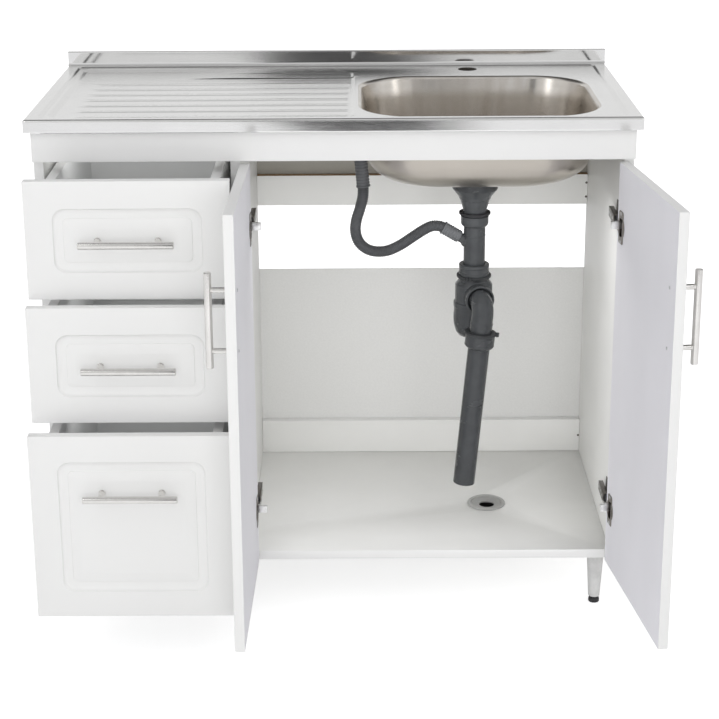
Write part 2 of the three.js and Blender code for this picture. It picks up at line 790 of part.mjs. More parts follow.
function buildWaste() {
  const drain = group(drain_x, drain_y, 0);
  const seat = bowl_bottom + sheet + fit_gap;
  const skirt = waste_hole_radius - fit_gap;
  const plate = bowl_bottom - strainer_drop;
  const basket = turned([
    [0, plate], [skirt, plate], [skirt, seat], [waste_flange_radius, seat],
    [waste_flange_radius, seat + waste_flange_thick / 2],
    [waste_flange_radius - 2, seat + waste_flange_thick],
    [skirt, seat + waste_flange_thick], [skirt - sheet, seat], [skirt - sheet, plate + 2],
    [0, plate + 2],
  ]);
  const holes = [];
  for (let i = 0; i < strainer_hole_count; i += 1) {
    const angle = 2 * Math.PI * i / strainer_hole_count;
    const hole = drum(strainer_hole_radius, plate - 1, plate + 3, 6);
    holes.push(hole.translate(strainer_hole_ring * Math.cos(angle),
      strainer_hole_ring * Math.sin(angle), 0));
  }
  holes.push(drum(strainer_hole_radius, plate - 1, plate + 3, 6));
  place('waste_grid', cut(basket, holes), pressed_steel(), drain);

  const top = bowl_bottom - fit_gap;
  const neck = bowl_bottom - waste_seat_drop;
  const spout_end = bowl_bottom - waste_spout_drop;
  const bore = waste_spout_radius - pipe_wall;
  const throat = waste_hole_radius + fit_gap;
  place('waste_body', turned([
    [waste_top_radius, top], [waste_top_radius, top - waste_rim_thick],
    [throat + waste_wall, top - waste_cone_drop],
    [throat + waste_wall, top - waste_throat_drop],
    [waste_neck_radius, neck + 1], [collar_ring_radius, neck],
    [collar_ring_radius, neck - waste_collar_thick],
    [waste_spout_radius, neck - waste_collar_thick], [waste_spout_radius, spout_end],
    [bore, spout_end], [bore, neck + 6], [throat, top - waste_cone_drop + 1], [throat, top],
    [waste_top_radius, top],
  ]), drain_plastic(), drain);

  const nut_bottom = spout_end - fit_gap - tail_flange_thick - fit_gap - nut_lip;
  const nut_bore = waste_spout_radius + fit_gap;
  place('waste_nut', turned([
    [pipe_radius + fit_gap, nut_bottom], [nut_radius - 2, nut_bottom],
    [nut_radius, nut_bottom + 4], [nut_radius, nut_bottom + nut_height],
    [nut_bore, nut_bottom + nut_height], [nut_bore, nut_bottom + nut_lip],
    [pipe_radius + fit_gap, nut_bottom + nut_lip], [pipe_radius + fit_gap, nut_bottom],
  ]), drain_plastic(), drain);

  const flange_z = nut_bottom + nut_lip + fit_gap;
  const tail = turned([
    [pipe_radius, tail_end], [pipe_radius, flange_z], [waste_spout_radius, flange_z],
    [waste_spout_radius, flange_z + tail_flange_thick],
    [pipe_radius - pipe_wall, flange_z + tail_flange_thick],
    [pipe_radius - pipe_wall, tail_end], [pipe_radius, tail_end],
  ]);
  const rise = deg(branch_rise_deg);
  const tip = (reach) => [-reach * Math.cos(rise), 0, branch_height + reach * Math.sin(rise)];
  const branch = rod(tip(pipe_radius - 3), tip(branch_reach), branch_radius, small_facets);
  const branch_bore = rod(tip(8), tip(branch_reach + 1), branch_radius - branch_wall,
    small_facets);
  const core = drum(pipe_radius - pipe_wall, tail_end - 1, flange_z + tail_flange_thick + 1);
  place('tailpiece', cut(joined([tail, branch]), [core, branch_bore]), drain_plastic(), drain);
}

function buildTrap() {
  const trap = group(drain_x, drain_y, 0);
  const grip = pipe_radius + fit_gap;
  const hollow = trap_radius - trap_wall;
  const shell = turned([
    [grip, trap_top], [trap_collar_radius, trap_top],
    [trap_collar_radius, trap_ring_height + 3], [trap_ring_radius, trap_ring_height + 3],
    [trap_ring_radius, trap_ring_height - 3], [trap_collar_radius, trap_ring_height - 3],
    [trap_collar_radius, trap_shoulder], [trap_radius, trap_shoulder - 7],
    [trap_radius, trap_cup_top], [trap_cup_radius, trap_cup_top],
    [trap_cup_radius, trap_cup_straight], [trap_cup_radius * 0.86, trap_bottom + 9],
    [trap_cup_radius * 0.45, trap_bottom], [0, trap_bottom], [0, trap_bottom + trap_wall],
    [trap_cup_radius * 0.4, trap_bottom + trap_wall], [hollow, trap_cup_straight],
    [hollow, trap_shoulder - 8], [grip, trap_shoulder], [grip, trap_top],
  ]);
  const yaw = deg(outlet_yaw_deg);
  const ahead = (reach) => [reach * Math.sin(yaw), -reach * Math.cos(yaw), outlet_height];
  const socket = rod(ahead(socket_start), ahead(socket_end), socket_radius);
  const bore = rod(ahead(pipe_radius), ahead(socket_end + 1), elbow_radius + fit_gap);
  const room = drum(hollow - 0.5, trap_cup_straight + 2, trap_shoulder - 10);
  place('trap_body', cut(joined([shell, socket]), [bore, room]), drain_plastic(), trap);

  // The outlet turns in the socket, so it is drawn with the socket's axis along its own +X.
  const outlet = group(drain_x, drain_y, outlet_height);
  outlet.rotation.order = 'ZXY';
  outlet.rotation.set(-deg(outlet_tilt_deg), 0, yaw - Math.PI / 2);
  const centre_line = new THREE.CurvePath();
  const turn = new THREE.Vector3(elbow_turn + elbow_bend, 0, 0);
  centre_line.add(new THREE.LineCurve3(new THREE.Vector3(elbow_start, 0, 0),
    new THREE.Vector3(elbow_turn, 0, 0)));
  centre_line.add(new THREE.QuadraticBezierCurve3(new THREE.Vector3(elbow_turn, 0, 0), turn,
    new THREE.Vector3(turn.x, 0, -elbow_bend)));
  centre_line.add(new THREE.LineCurve3(new THREE.Vector3(turn.x, 0, -elbow_bend),
    new THREE.Vector3(turn.x, 0, -elbow_drop)));
  const outer = swept(centre_line, elbow_radius, 10, 16);
  const inner = swept(centre_line, elbow_radius - pipe_wall, 10, 16);
  place('outlet_elbow', cut(outer, [inner]), drain_plastic(), outlet);

  const drop = group(turn.x, 0, 0, outlet);
  const nut_grip = elbow_radius + fit_gap;
  const pipe_grip = pipe_radius + fit_gap;
  const pipe_top = -elbow_drop - fit_gap;
  place('outlet_nut', turned([
    [nut_grip, -outlet_nut_top], [outlet_ring_radius, -outlet_nut_top],
    [outlet_ring_radius, -outlet_nut_top - 6], [outlet_nut_radius, -outlet_nut_top - 6],
    [outlet_nut_radius, -outlet_nut_bottom + 5], [pipe_grip + 2, -outlet_nut_bottom],
    [pipe_grip, -outlet_nut_bottom], [pipe_grip, pipe_top - 2], [nut_grip, pipe_top],
    [nut_grip, -outlet_nut_top],
  ]), drain_plastic(), drop);
  const pipe_end = (outlet_pipe_end - outlet_height) / Math.cos(deg(outlet_tilt_deg));
  place('outlet_pipe', turned([
    [pipe_radius, pipe_end], [pipe_radius, pipe_top], [pipe_radius - pipe_wall, pipe_top],
    [pipe_radius - pipe_wall, pipe_end], [pipe_radius, pipe_end],
  ]), drain_plastic(), drop);
}

// ---- overflow fitting on the left wall of the bowl, and its hose

function buildOverflow() {
  const slope = Math.tan(deg(bowl_taper_deg));
  const wall_x = bowl_left + fit_gap + overflow_below_top * slope;
  const fitting = group(wall_x, drain_y, recess_top - overflow_below_top);
  fitting.rotation.y = deg(-bowl_taper_deg);
  const out = (reach) => [-reach, 0, 0];
  const down = (drop) => [-spigot_from_wall, 0, -drop];
  const plate = rod(out(fit_gap), out(fit_gap + overflow_plate_thick), overflow_plate_radius, 16);
  const body = rod(out(fit_gap), out(overflow_body_depth), overflow_body_radius, 16);
  const spigot = rod(down(0), down(spigot_drop), branch_radius, small_facets);
  const chamber = rod(out(0), out(overflow_body_depth - 2), overflow_hole_radius, small_facets);
  const passage = rod(down(0), down(spigot_drop + 1), branch_radius - branch_wall, small_facets);
  place('overflow_elbow', cut(joined([plate, body, spigot]), [chamber, passage]),
    drain_plastic(), fitting);

  const route = new THREE.CatmullRomCurve3(hose_route.map((point) => new THREE.Vector3(...point)));
  place('overflow_hose', swept(route, hose_radius, 26, 8), hose_plastic());
}

// ---- pipe grommet: a ring with a lid that has a round port near its front

function buildGrommet() {
  const spot = group(grommet_x, grommet_y, floor_top + fit_gap);
  const skirt = grommet_hole_radius - fit_gap;
  const ring = turned([
    [0, 0], [skirt - 2, 0], [skirt - 2, -board], [skirt, -board], [skirt, 0],
    [grommet_flange_radius, 0], [grommet_flange_radius, grommet_flange_thick - 1.5],
    [grommet_flange_radius - 2, grommet_flange_thick], [skirt - 2, grommet_flange_thick],
    [skirt - 3, grommet_flange_thick - 1], [0, grommet_flange_thick - 1],
  ]);
  const port = drum(grommet_port_radius, -1, grommet_flange_thick + 1);
  port.translate(0, -grommet_port_forward, 0);
  place('pipe_grommet', cut(ring, [port]), grey_plastic(), spot);
}

buildCarcass();
buildWorktop();
buildBowl();
buildLegs();
buildDoor('left', 1, cupboard_left, partition_right, door_open_left_deg);
buildDoor('right', -1, front_right, inner_right, door_open_right_deg);
buildDrawers();
buildWaste();
buildTrap();
buildOverflow();
buildGrommet();

// The origin goes to the floor under the middle of the whole unit as it stands.
const extent = new THREE.Box3().setFromObject(unit, true);
const middle = extent.getCenter(new THREE.Vector3());
unit.position.set(-middle.x, -middle.y, -extent.min.z);

export default unit;
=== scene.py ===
# A kitchen sink unit, dressed: white board cabinet, pressed steel worktop, drawers, doors and drain.
# Every length is written in millimetres and turned into metres with MM. Places are given from the
# middle of the worktop's front edge at floor level, as at(x, y, z), with x right, y back and z up.

import json
import math

import bmesh
import bpy
from mathutils import Matrix, Vector


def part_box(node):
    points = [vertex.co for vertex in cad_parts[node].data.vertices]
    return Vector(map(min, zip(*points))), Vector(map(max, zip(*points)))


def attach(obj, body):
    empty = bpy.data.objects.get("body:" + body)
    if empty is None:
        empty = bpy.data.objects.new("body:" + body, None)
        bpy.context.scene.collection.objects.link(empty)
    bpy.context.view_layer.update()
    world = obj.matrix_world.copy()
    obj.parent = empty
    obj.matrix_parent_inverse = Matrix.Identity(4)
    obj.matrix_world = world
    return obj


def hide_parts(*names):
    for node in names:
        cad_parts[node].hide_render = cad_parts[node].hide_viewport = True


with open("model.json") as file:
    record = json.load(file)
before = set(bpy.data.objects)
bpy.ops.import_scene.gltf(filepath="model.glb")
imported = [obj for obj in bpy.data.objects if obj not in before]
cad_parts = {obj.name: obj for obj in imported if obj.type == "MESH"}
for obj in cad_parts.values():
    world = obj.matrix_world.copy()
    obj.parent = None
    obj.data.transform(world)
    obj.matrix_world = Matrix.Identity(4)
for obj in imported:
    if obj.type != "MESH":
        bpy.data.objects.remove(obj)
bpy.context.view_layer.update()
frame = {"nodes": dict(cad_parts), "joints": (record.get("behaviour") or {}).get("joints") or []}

# ---- Camera ------------------------------------------------------------------------------------
# The photograph is taken from in front and above, on a long lens, a little right of the middle.
# It looks down at the bowl and still sees into the cupboard.

MM = 0.001
view_from = Vector((15.1, -2910.7, 1487.5)) * MM
view_down_deg = 17.40
view_turn_deg = 0.02
view_roll_deg = -0.31
lens_mm = 89.4
frame_shift = -0.10


def shown(name, data):
    """Puts a mesh, a lamp or a camera into the scene."""
    thing = bpy.data.objects.new(name, data)
    bpy.context.scene.collection.objects.link(thing)
    return thing


camera_data = bpy.data.cameras.new("photo_camera")
camera_data.sensor_width = 36.0
camera_data.lens = lens_mm
camera_data.shift_y = frame_shift
camera = shown("photo_camera", camera_data)
turned_camera = Matrix.Rotation(math.radians(view_turn_deg), 4, "Z")
tipped_camera = Matrix.Rotation(math.radians(90 - view_down_deg), 4, "X")
rolled_camera = Matrix.Rotation(math.radians(view_roll_deg), 4, "Z")
camera.matrix_world = (
    Matrix.Translation(view_from) @ turned_camera @ tipped_camera @ rolled_camera
)
bpy.context.scene.camera = camera
bpy.context.scene.view_settings.view_transform = "Standard"

# ---- Overflow hose -----------------------------------------------------------------------------
# A limp corrugated plastic hose, 20 mm across, that hangs between the overflow elbow and the
# branch of the tailpiece. Each end is pushed on under a ribbed cuff of softer, paler plastic.

worktop_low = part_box("sink_top")[0]
origin = Vector((worktop_low.x + 500 * MM, worktop_low.y, 0))


def at(x, y, z):
    """A place in millimetres from the middle of the worktop's front edge, at floor level."""
    return origin + Vector((x, y, z)) * MM


class Wire:
    """An output of a shader node. Arithmetic on it adds Math nodes."""

    def __init__(self, finish, socket):
        self.finish = finish
        self.socket = socket

    def maths(self, operation, first, second):
        return self.finish.node("ShaderNodeMath", {"operation": operation}, {0: first, 1: second})

    def __add__(self, other):
        return self.maths("ADD", self, other)

    def __radd__(self, other):
        return self.maths("ADD", other, self)

    def __sub__(self, other):
        return self.maths("SUBTRACT", self, other)

    def __rsub__(self, other):
        return self.maths("SUBTRACT", other, self)

    def __mul__(self, other):
        return self.maths("MULTIPLY", self, other)

    def __rmul__(self, other):
        return self.maths("MULTIPLY", other, self)


class Finish:
    """A material while it is written."""

    def __init__(self, name, **even):
        self.material = bpy.data.materials.new(name)
        self.material.use_nodes = True
        self.tree = self.material.node_tree
        self.shader = self.tree.nodes["Principled BSDF"]
        for socket, value in even.items():
            self.shader.inputs[socket.replace("_", " ")].default_value = value

    def node(self, kind, settings=None, feeds=None, output=0):
        """Adds a node: its settings first, then the values or links of its sockets."""
        made = self.tree.nodes.new(kind)
        for key, value in (settings or {}).items():
            if key != "stops":
                setattr(made, key, value)
                continue
            elements = made.color_ramp.elements
            while len(elements) < len(value):
                elements.new(0.5)
            for element, (place, grey) in zip(elements, value):
                element.position = place
                element.color = (grey, grey, grey, 1)
        for key, value in (feeds or {}).items():
            self.feed(made.inputs[key], value)
        return Wire(self, made.outputs[output])

    def feed(self, socket, value):
        if isinstance(value, Wire):
            self.tree.links.new(value.socket, socket)
        elif hasattr(value, "__len__") and len(value) == 3 and socket.type == "RGBA":
            socket.default_value = (*value, 1)
        else:
            socket.default_value = value

    def surface(self, **varying):
        """Links what changes over the surface to the shader."""
        for socket, value in varying.items():
            self.feed(self.shader.inputs[socket.replace("_", " ")], value)
        return self.material

    def spot(self, stretch=(1, 1, 1)):
        """Object coordinates, in metres, scaled on each axis."""
        place = self.node("ShaderNodeTexCoord", output="Object")
        return self.node("ShaderNodeMapping", {"vector_type": "POINT"}, {0: place, 3: stretch})

    def noise(self, scale, detail=3, rough=0.55, stretch=(1, 1, 1)):
        feeds = {"Vector": self.spot(stretch), "Scale": scale, "Detail": detail, "Roughness": rough}
        return self.node("ShaderNodeTexNoise", {}, feeds)

    def ramp(self, value, *stops):
        return self.node("ShaderNodeValToRGB", {"stops": stops}, {0: value})

    def blend(self, amount, first, second):
        """A colour between two, by an amount from 0 to 1."""
        return self.node("ShaderNodeMix", {"data_type": "RGBA"}, {0: amount, 6: first, 7: second}, 2)

    def bump(self, height, depth, under=None):
        """A bump of that depth in metres. It may lie over another bump."""
        feeds = {"Height": height, "Distance": depth, "Strength": 1.0}
        if under:
            feeds["Normal"] = under
        return self.node("ShaderNodeBump", {}, feeds)


def toned(shade, factor, most=1.0):
    """A darker or a paler shade of a colour."""
    return [min(most, channel * factor) for channel in shade]


def moulded_plastic(name, shade, gloss, grain_mm=0.9, grain_depth_mm=0.012):
    """Moulded plastic: a faint flow mottle, fine grain and handling marks in the gloss."""
    finish = Finish(name, Specular_IOR_Level=0.45)
    mottle = finish.noise(38, 4)
    grain = finish.noise(1 / (grain_mm * MM), 2)
    smears = finish.noise(16, 5, 0.6, (1, 1, 3))
    return finish.surface(
        Base_Color=finish.blend(finish.ramp(mottle, (0.3, 0), (0.7, 1)), toned(shade, 0.86),
                                toned(shade, 1.12)),
        Roughness=gloss - 0.03 + 0.07 * smears,
        Normal=finish.bump(grain, grain_depth_mm * MM),
    )


def meshed(shape, name):
    """The plain mesh of a finished bmesh."""
    mesh = bpy.data.meshes.new(name)
    shape.to_mesh(mesh)
    shape.free()
    return mesh


def on_body(mesh, name, body, stands_for=()):
    """Makes a finished mesh a piece of the object that rides on a body."""
    piece = shown(name, mesh)
    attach(piece, body)
    if stands_for:
        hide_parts(*stands_for)
    return piece


def placed(shape, name, finishes, body, stands_for=(), turn=None, smooth_deg=38):
    """Turns a finished bmesh into a piece of the object that rides on a body."""
    if turn is not None:
        shape.transform(turn)
    mesh = meshed(shape, name)
    for finish in finishes if isinstance(finishes, (list, tuple)) else [finishes]:
        mesh.materials.append(finish)
    mesh.shade_smooth()
    mesh.set_sharp_from_angle(angle=math.radians(smooth_deg))
    return on_body(mesh, name, body, stands_for)


def tube_around(path, radii, sides):
    """A closed round tube: one ring of points for each place on the path."""
    shape = bmesh.new()
    rings = []
    across = Vector((0, 1, 0))
    for index, place in enumerate(path):
        ahead = path[min(index + 1, len(path) - 1)] - path[max(index - 1, 0)]
        ahead.normalize()
        side = across - ahead * across.dot(ahead)
        side.normalize()
        up = ahead.cross(side)
        ring = []
        for step in range(sides):
            turn = 2 * math.pi * step / sides
            offset = side * math.cos(turn) + up * math.sin(turn)
            ring.append(shape.verts.new(place + offset * radii[index]))
        rings.append(ring)
    for ring, further in zip(rings, rings[1:]):
        for step in range(sides):
            nearby = (step + 1) % sides
            shape.faces.new((ring[step], ring[nearby], further[nearby], further[step]))
    shape.faces.new(list(reversed(rings[0])))
    shape.faces.new(rings[-1])
    bmesh.ops.recalc_face_normals(shape, faces=shape.faces)
    return shape


def flowing(points, per_span):
    """A smooth curve through listed points."""
    ends = [2 * points[0] - points[1], *points, 2 * points[-1] - points[-2]]
    line = []
    for a, b, c, d in zip(ends, ends[1:], ends[2:], ends[3:]):
        for step in range(per_span):
            t = step / per_span
            bend = (2 * a - 5 * b + 4 * c - d) * t * t + (3 * b - a - 3 * c + d) * t ** 3
            line.append(b + ((c - a) * t + bend) / 2)
    return [*line, points[-1]]


def evenly(line, gap):
    """The same line as places a fixed gap apart, and how long it is."""
    places = [line[0]]
    walked, wanted = 0.0, gap
    for start, stop in zip(line, line[1:]):
        stride = (stop - start).length
        while walked + stride >= wanted:
            places.append(start.lerp(stop, (wanted - walked) / stride))
            wanted += gap
        walked += stride
    return [*places, line[-1]], walked


def eased(outline, radius, steps=3):
    """Rounds each corner of a closed [radius, height] outline, except on the axis."""
    smooth = []
    count = len(outline)
    for index, corner in enumerate(outline):
        here = Vector(corner)
        back = Vector(outline[index - 1]) - here
        ahead = Vector(outline[(index + 1) % count]) - here
        room = min(radius, back.length * 0.42, ahead.length * 0.42)
        if here.x < 0.01 or room < 0.02:
            smooth.append(tuple(here))
            continue
        start = here + back.normalized() * room
        stop = here + ahead.normalized() * room
        for step in range(steps + 1):
            t = step / steps
            smooth.append(tuple(start.lerp(here, t).lerp(here.lerp(stop, t), t)))
    return smooth


def turned(outline, sides=48, ease=0.6, foot=(0, 0, 0)):
    """A round piece about an upright axis, from a closed [radius, height] outline in millimetres."""
    points = eased(outline, ease)
    shape = bmesh.new()
    rings = []
    for radius, height in points:
        ring = []
        for step in range(sides if radius > 0.01 else 1):
            turn = 2 * math.pi * step / sides
            x, y = radius * math.cos(turn), radius * math.sin(turn)
            ring.append(shape.verts.new(Vector((foot[0] + x, foot[1] + y, foot[2] + height)) * MM))
        rings.append(ring)
    for ring, further in zip(rings, rings[1:] + rings[:1]):
        for step in range(sides):
            nearby = (step + 1) % sides
            corners = [ring[step % len(ring)], ring[nearby % len(ring)],
                       further[nearby % len(further)], further[step % len(further)]]
            face = list(dict.fromkeys(corners))
            if len(face) > 2:
                shape.faces.new(face)
    bmesh.ops.recalc_face_normals(shape, faces=shape.faces)
    return shape


def along(start, ahead):
    """Turns and moves a piece drawn along +Z from the origin onto a line."""
    return Matrix.Translation(start) @ ahead.to_track_quat("Z", "Y").to_matrix().to_4x4()


hose_route = [
    (42.0, 202, 794.7), (43.3, 202, 780.0), (45.4, 202, 756.0), (47.6, 202, 731.0),
    (47.0, 202, 708.0), (41.6, 202, 686.0), (35.6, 202, 666.0), (34.0, 202, 646.0),
    (39.6, 202, 627.5), (52.6, 202, 614.6), (70.0, 202, 609.2), (90.5, 202, 610.8),
    (112.0, 202, 620.5), (133.0, 202, 634.5), (151.5, 202, 647.0), (167.0, 202, 654.6),
    (182.0, 202, 654.6), (193.0, 202, 649.1), (202.8, 202, 643.3),
]
hose_radius = 10.0
hose_valley = 9.0
hose_pitch = 3.1
hose_rings_per_pitch = 5

hose_shade = (0.052, 0.054, 0.058)
cuff_shade = (0.11, 0.114, 0.12)
hose_finish = moulded_plastic("corrugated_hose", hose_shade, 0.3, 0.7)
cuff_finish = moulded_plastic("hose_cuff_plastic", cuff_shade, 0.5, 0.6)

hose_line, hose_length = evenly(
    flowing([at(*place) for place in hose_route], 12), hose_pitch / hose_rings_per_pitch * MM
)
hose_middle = (hose_radius + hose_valley) / 2
hose_wave = (hose_radius - hose_valley) / 2
hose_radii = [
    (hose_middle + hose_wave * math.cos(2 * math.pi * index / hose_rings_per_pitch)) * MM
    for index in range(len(hose_line))
]
hose = placed(tube_around(hose_line, hose_radii, 24), "corrugated_overflow_hose", hose_finish,
              "cabinet", ["overflow_hose"], smooth_deg=80)


def ribbed_cuff(length, ribs, base, crest, lip):
    """A cuff along +Z from its lip, in millimetres, with rings moulded round it."""
    outline = [(hose_valley - 0.3, 0), (lip, 0), (lip, 2.2), (base, 3.4)]
    pitch = (length - 6) / ribs
    for rib in range(ribs):
        foot = 3.8 + rib * pitch
        outline += [(base, foot + 0.2 * pitch), (crest, foot + 0.35 * pitch),
                    (crest, foot + 0.7 * pitch), (base, foot + 0.85 * pitch)]
    outline += [(base, length - 0.8), (base - 0.8, length), (hose_valley - 0.3, length)]
    return turned(outline, 40, 0.35)


upper_cuff_foot, upper_cuff_head = at(48.0, 202, 727.0), at(41.8, 202, 798.0)
upper_cuff_axis = upper_cuff_head - upper_cuff_foot
hose_upper_cuff = placed(
    ribbed_cuff(upper_cuff_axis.length / MM, 12, 10.9, 11.7, 12.4), "hose_upper_cuff", cuff_finish,
    "cabinet", turn=along(upper_cuff_foot, upper_cuff_axis))
end_cuff_foot, end_cuff_head = at(187.4, 202, 652.4), at(216.5, 202, 635.1)
end_cuff_axis = end_cuff_head - end_cuff_foot
hose_end_cuff = placed(
    ribbed_cuff(end_cuff_axis.length / MM, 6, 10.7, 11.5, 12.0), "hose_end_cuff", cuff_finish,
    "cabinet", turn=along(end_cuff_foot, end_cuff_axis))

# ---- Floor and light ---------------------------------------------------------------------------
# A plain pale floor and soft light from all round, with one large softbox high in front on the
# left, a weaker one on the right, and weak fills in the cupboard and above each drawer. The metal
# alone sees darker parts of the studio: bands in the sky, and a black card far in front.

floor_half = 9000
floor_drop = 0.2
floor_albedo = 0.88
sky_level = 0.62
softboxes = [
    # name, place, aims at, width, height, watts, seen in metal
    ("left_softbox", (-1700, -2000, 2200), (0, 200, 600), 700, 2400, 9, True),
    ("right_softbox", (2100, -1800, 2000), (100, 200, 600), 600, 2200, 5, True),
    ("front_fill", (150, -3500, 1100), (120, 250, 450), 2200, 1400, 30, False),
    ("cupboard_fill", (160, 10, 430), (160, 300, 415), 560, 620, 0.42, False),
    ("shelf_fill", (160, 100, 712), (160, 190, 116), 560, 150, 0.45, False),
    ("top_drawer_fill", (-330, 45, 853), (-330, 330, 740), 200, 20, 0.2, False),
    ("middle_drawer_fill", (-321, 40, 650), (-321, 300, 480), 200, 20, 0.16, False),
    ("bottom_drawer_fill", (-321, -20, 440), (-321, 250, 170), 200, 20, 0.14, False),
]
card_left, card_right, card_place, card_height = -380, 520, -3700, 2900
card_lean_left, card_lean_right, card_lean_from, card_lean_to = 1.9, 0.5, 0.081, 0.17

floor_shape = bmesh.new()
bmesh.ops.create_grid(floor_shape, x_segments=1, y_segments=1, size=floor_half * MM)
floor_mesh = meshed(floor_shape, "studio_floor")
floor_mesh.transform(Matrix.Translation(Vector((0, 0, -floor_drop * MM))))
shown("studio_floor", floor_mesh)
pale_floor = Finish("pale_floor", Roughness=0.9, Specular_IOR_Level=0.1)
floor_sight = pale_floor.node("ShaderNodeLightPath", output="Is Camera Ray")
floor_gloss = pale_floor.node("ShaderNodeLightPath", output="Is Glossy Ray")
floor_place = pale_floor.node("ShaderNodeSeparateXYZ", {}, {0: pale_floor.spot()}, "Y")
far_away = pale_floor.ramp(0.25 * floor_place, (0.1, 0), (0.5, 1))
pale_floor.shader.inputs["Emission Strength"].default_value = 1.0
floor_mesh.materials.append(pale_floor.surface(
    Base_Color=(floor_albedo, floor_albedo, floor_albedo),
    Emission_Color=pale_floor.blend(
        floor_sight, pale_floor.blend(floor_gloss, (0, 0, 0), (0.32, 0.32, 0.32)),
        pale_floor.blend(far_away, (0.58, 0.58, 0.58), (0.85, 0.85, 0.85)))))

card_shape = bmesh.new()
card_shape.faces.new([card_shape.verts.new(at(x, card_place, z)) for x, z in (
    (card_right, 1), (card_left, 1), (card_left, card_height), (card_right, card_height))])
card_mesh = meshed(card_shape, "dark_card")
card = shown("dark_card", card_mesh)
card.visible_camera = False
card.visible_diffuse = False
card.visible_shadow = False
black_cloth = Finish("black_cloth", Roughness=0.95, Specular_IOR_Level=0.0,
                     Base_Color=(0, 0, 0, 1), Emission_Strength=1.0)
card_spot = black_cloth.spot()
card_side = black_cloth.node("ShaderNodeSeparateXYZ", {}, {0: card_spot}, "X")
card_rise = black_cloth.node("ShaderNodeSeparateXYZ", {}, {0: card_spot}, "Z")
card_rise = card_rise.maths("MINIMUM", card_rise, card_lean_to) - card_lean_from
card_width = (card_right - card_left) * MM
card_start = at(card_left, 0, 0).x
left_fade = black_cloth.ramp(
    (1 / card_width) * (card_side + card_lean_left * card_rise - card_start), (0.15, 0.9),
    (0.22, 0.045), (1.0, 0.035))
right_fade = black_cloth.ramp(
    (1 / card_width) * (card_side + card_lean_right * card_rise - card_start), (0.72, 0.035),
    (0.82, 0.35), (1.0, 0.8))
card_shade = left_fade.maths("MAXIMUM", left_fade, right_fade)
card_mesh.materials.append(black_cloth.surface(Emission_Color=card_shade))

world = bpy.data.worlds.new("studio")
bpy.context.scene.world = world
world.use_nodes = True


class Sky(Finish):
    """The same node building for the world."""

    def __init__(self, shown_world):
        self.tree = shown_world.node_tree


studio = Sky(world)
sky_direction = studio.node("ShaderNodeTexCoord", output="Generated")
upward = studio.node("ShaderNodeSeparateXYZ", {}, {0: sky_direction}, "Z")
sideways = studio.node("ShaderNodeSeparateXYZ", {}, {0: sky_direction}, "X")
backward = studio.node("ShaderNodeSeparateXYZ", {}, {0: sky_direction}, "Y")
bands_behind = studio.ramp(upward, (0.0, 0.93), (0.37, 0.84), (0.47, 0.08), (0.86, 0.07),
                           (1.0, 0.3))
bands_ahead = studio.ramp(upward, (0.0, 0.92), (0.12, 0.95), (0.32, 0.6), (0.5, 0.72), (0.9, 0.6))
ahead = studio.ramp(0.5 - 2.5 * backward, (0.2, 0), (0.8, 1))
to_side = studio.ramp(sideways * sideways, (0.2, 0), (0.65, 0.45))
seen_in_metal = studio.blend(ahead, studio.blend(to_side, bands_behind, (0.3, 0.3, 0.31)),
                             bands_ahead)
glossy = studio.node("ShaderNodeLightPath", output="Is Glossy Ray")
sight = studio.node("ShaderNodeLightPath", output="Is Camera Ray")
lit = studio.blend(glossy, (sky_level, sky_level, sky_level * 1.01), seen_in_metal)
studio.feed(world.node_tree.nodes["Background"].inputs["Color"], studio.blend(sight, lit, (1, 1, 1)))

for lamp_name, stands, aims, lamp_width, lamp_height, watts, in_metal in softboxes:
    lamp = bpy.data.lights.new(lamp_name, "AREA")
    lamp.shape = "RECTANGLE"
    lamp.size = lamp_width * MM
    lamp.size_y = lamp_height * MM
    lamp.energy = watts
    lamp_object = shown(lamp_name, lamp)
    lamp_object.location = at(*stands)
    lamp_object.rotation_euler = (at(*aims) - at(*stands)).to_track_quat("-Z", "Y").to_euler()
    lamp_object.visible_camera = False
    lamp_object.visible_glossy = in_metal

# ---- Cabinet boards ----------------------------------------------------------------------------
# 16 mm chipboard faced with white melamine. The edges that show are banded with white strip, and
# the others are sawn chipboard. The back is 3 mm hardboard: the low sheet is painted white inside,
# the high one is a darker grey-brown inside as painted shade under the worktop, and both are
# brown behind.

board = 16.0
edge_break = 0.5
under_the_drainer = 877.5
faced, banded, sawn = 0, 1, 2


def melamine(name, shade, lean=(1, 1, 1)):
    """Melamine paper over chipboard: nearly even, with a fine pearl and a soft waviness."""
    finish = Finish(name, Specular_IOR_Level=0.4)
    pearl = finish.noise(900, 3, 0.6)
    clouds = finish.noise(5, 4, 0.5, lean)
    waves = finish.noise(24, 2)
    return finish.surface(
        Base_Color=finish.blend(finish.ramp(clouds, (0.35, 0), (0.65, 1)), toned(shade, 0.965),
                                toned(shade, 1.02, 0.93)),
        Roughness=0.4 + 0.12 * pearl,
        Normal=finish.bump(pearl, 0.02 * MM, finish.bump(waves, 0.05 * MM)),
    )


def sawn_chipboard():
    """Pressed wood chips with their open pores and glue lines."""
    finish = Finish("sawn_chipboard", Specular_IOR_Level=0.2)
    chips = finish.node("ShaderNodeTexVoronoi", {"feature": "F1"},
                        {"Vector": finish.spot((1, 1, 2.2)), "Scale": 520}, "Color")
    fibres = finish.noise(900, 5, 0.7, (0.25, 0.25, 1.6))
    tone = finish.blend(fibres, (0.30, 0.19, 0.105), (0.62, 0.45, 0.28))
    spread = finish.node("ShaderNodeSeparateColor", {}, {0: chips}, "Red")
    return finish.surface(
        Base_Color=finish.blend(0.5 * spread, tone, (0.20, 0.125, 0.07)),
        Roughness=0.82 + 0.12 * fibres,
        Normal=finish.bump(spread + fibres, 0.16 * MM),
    )


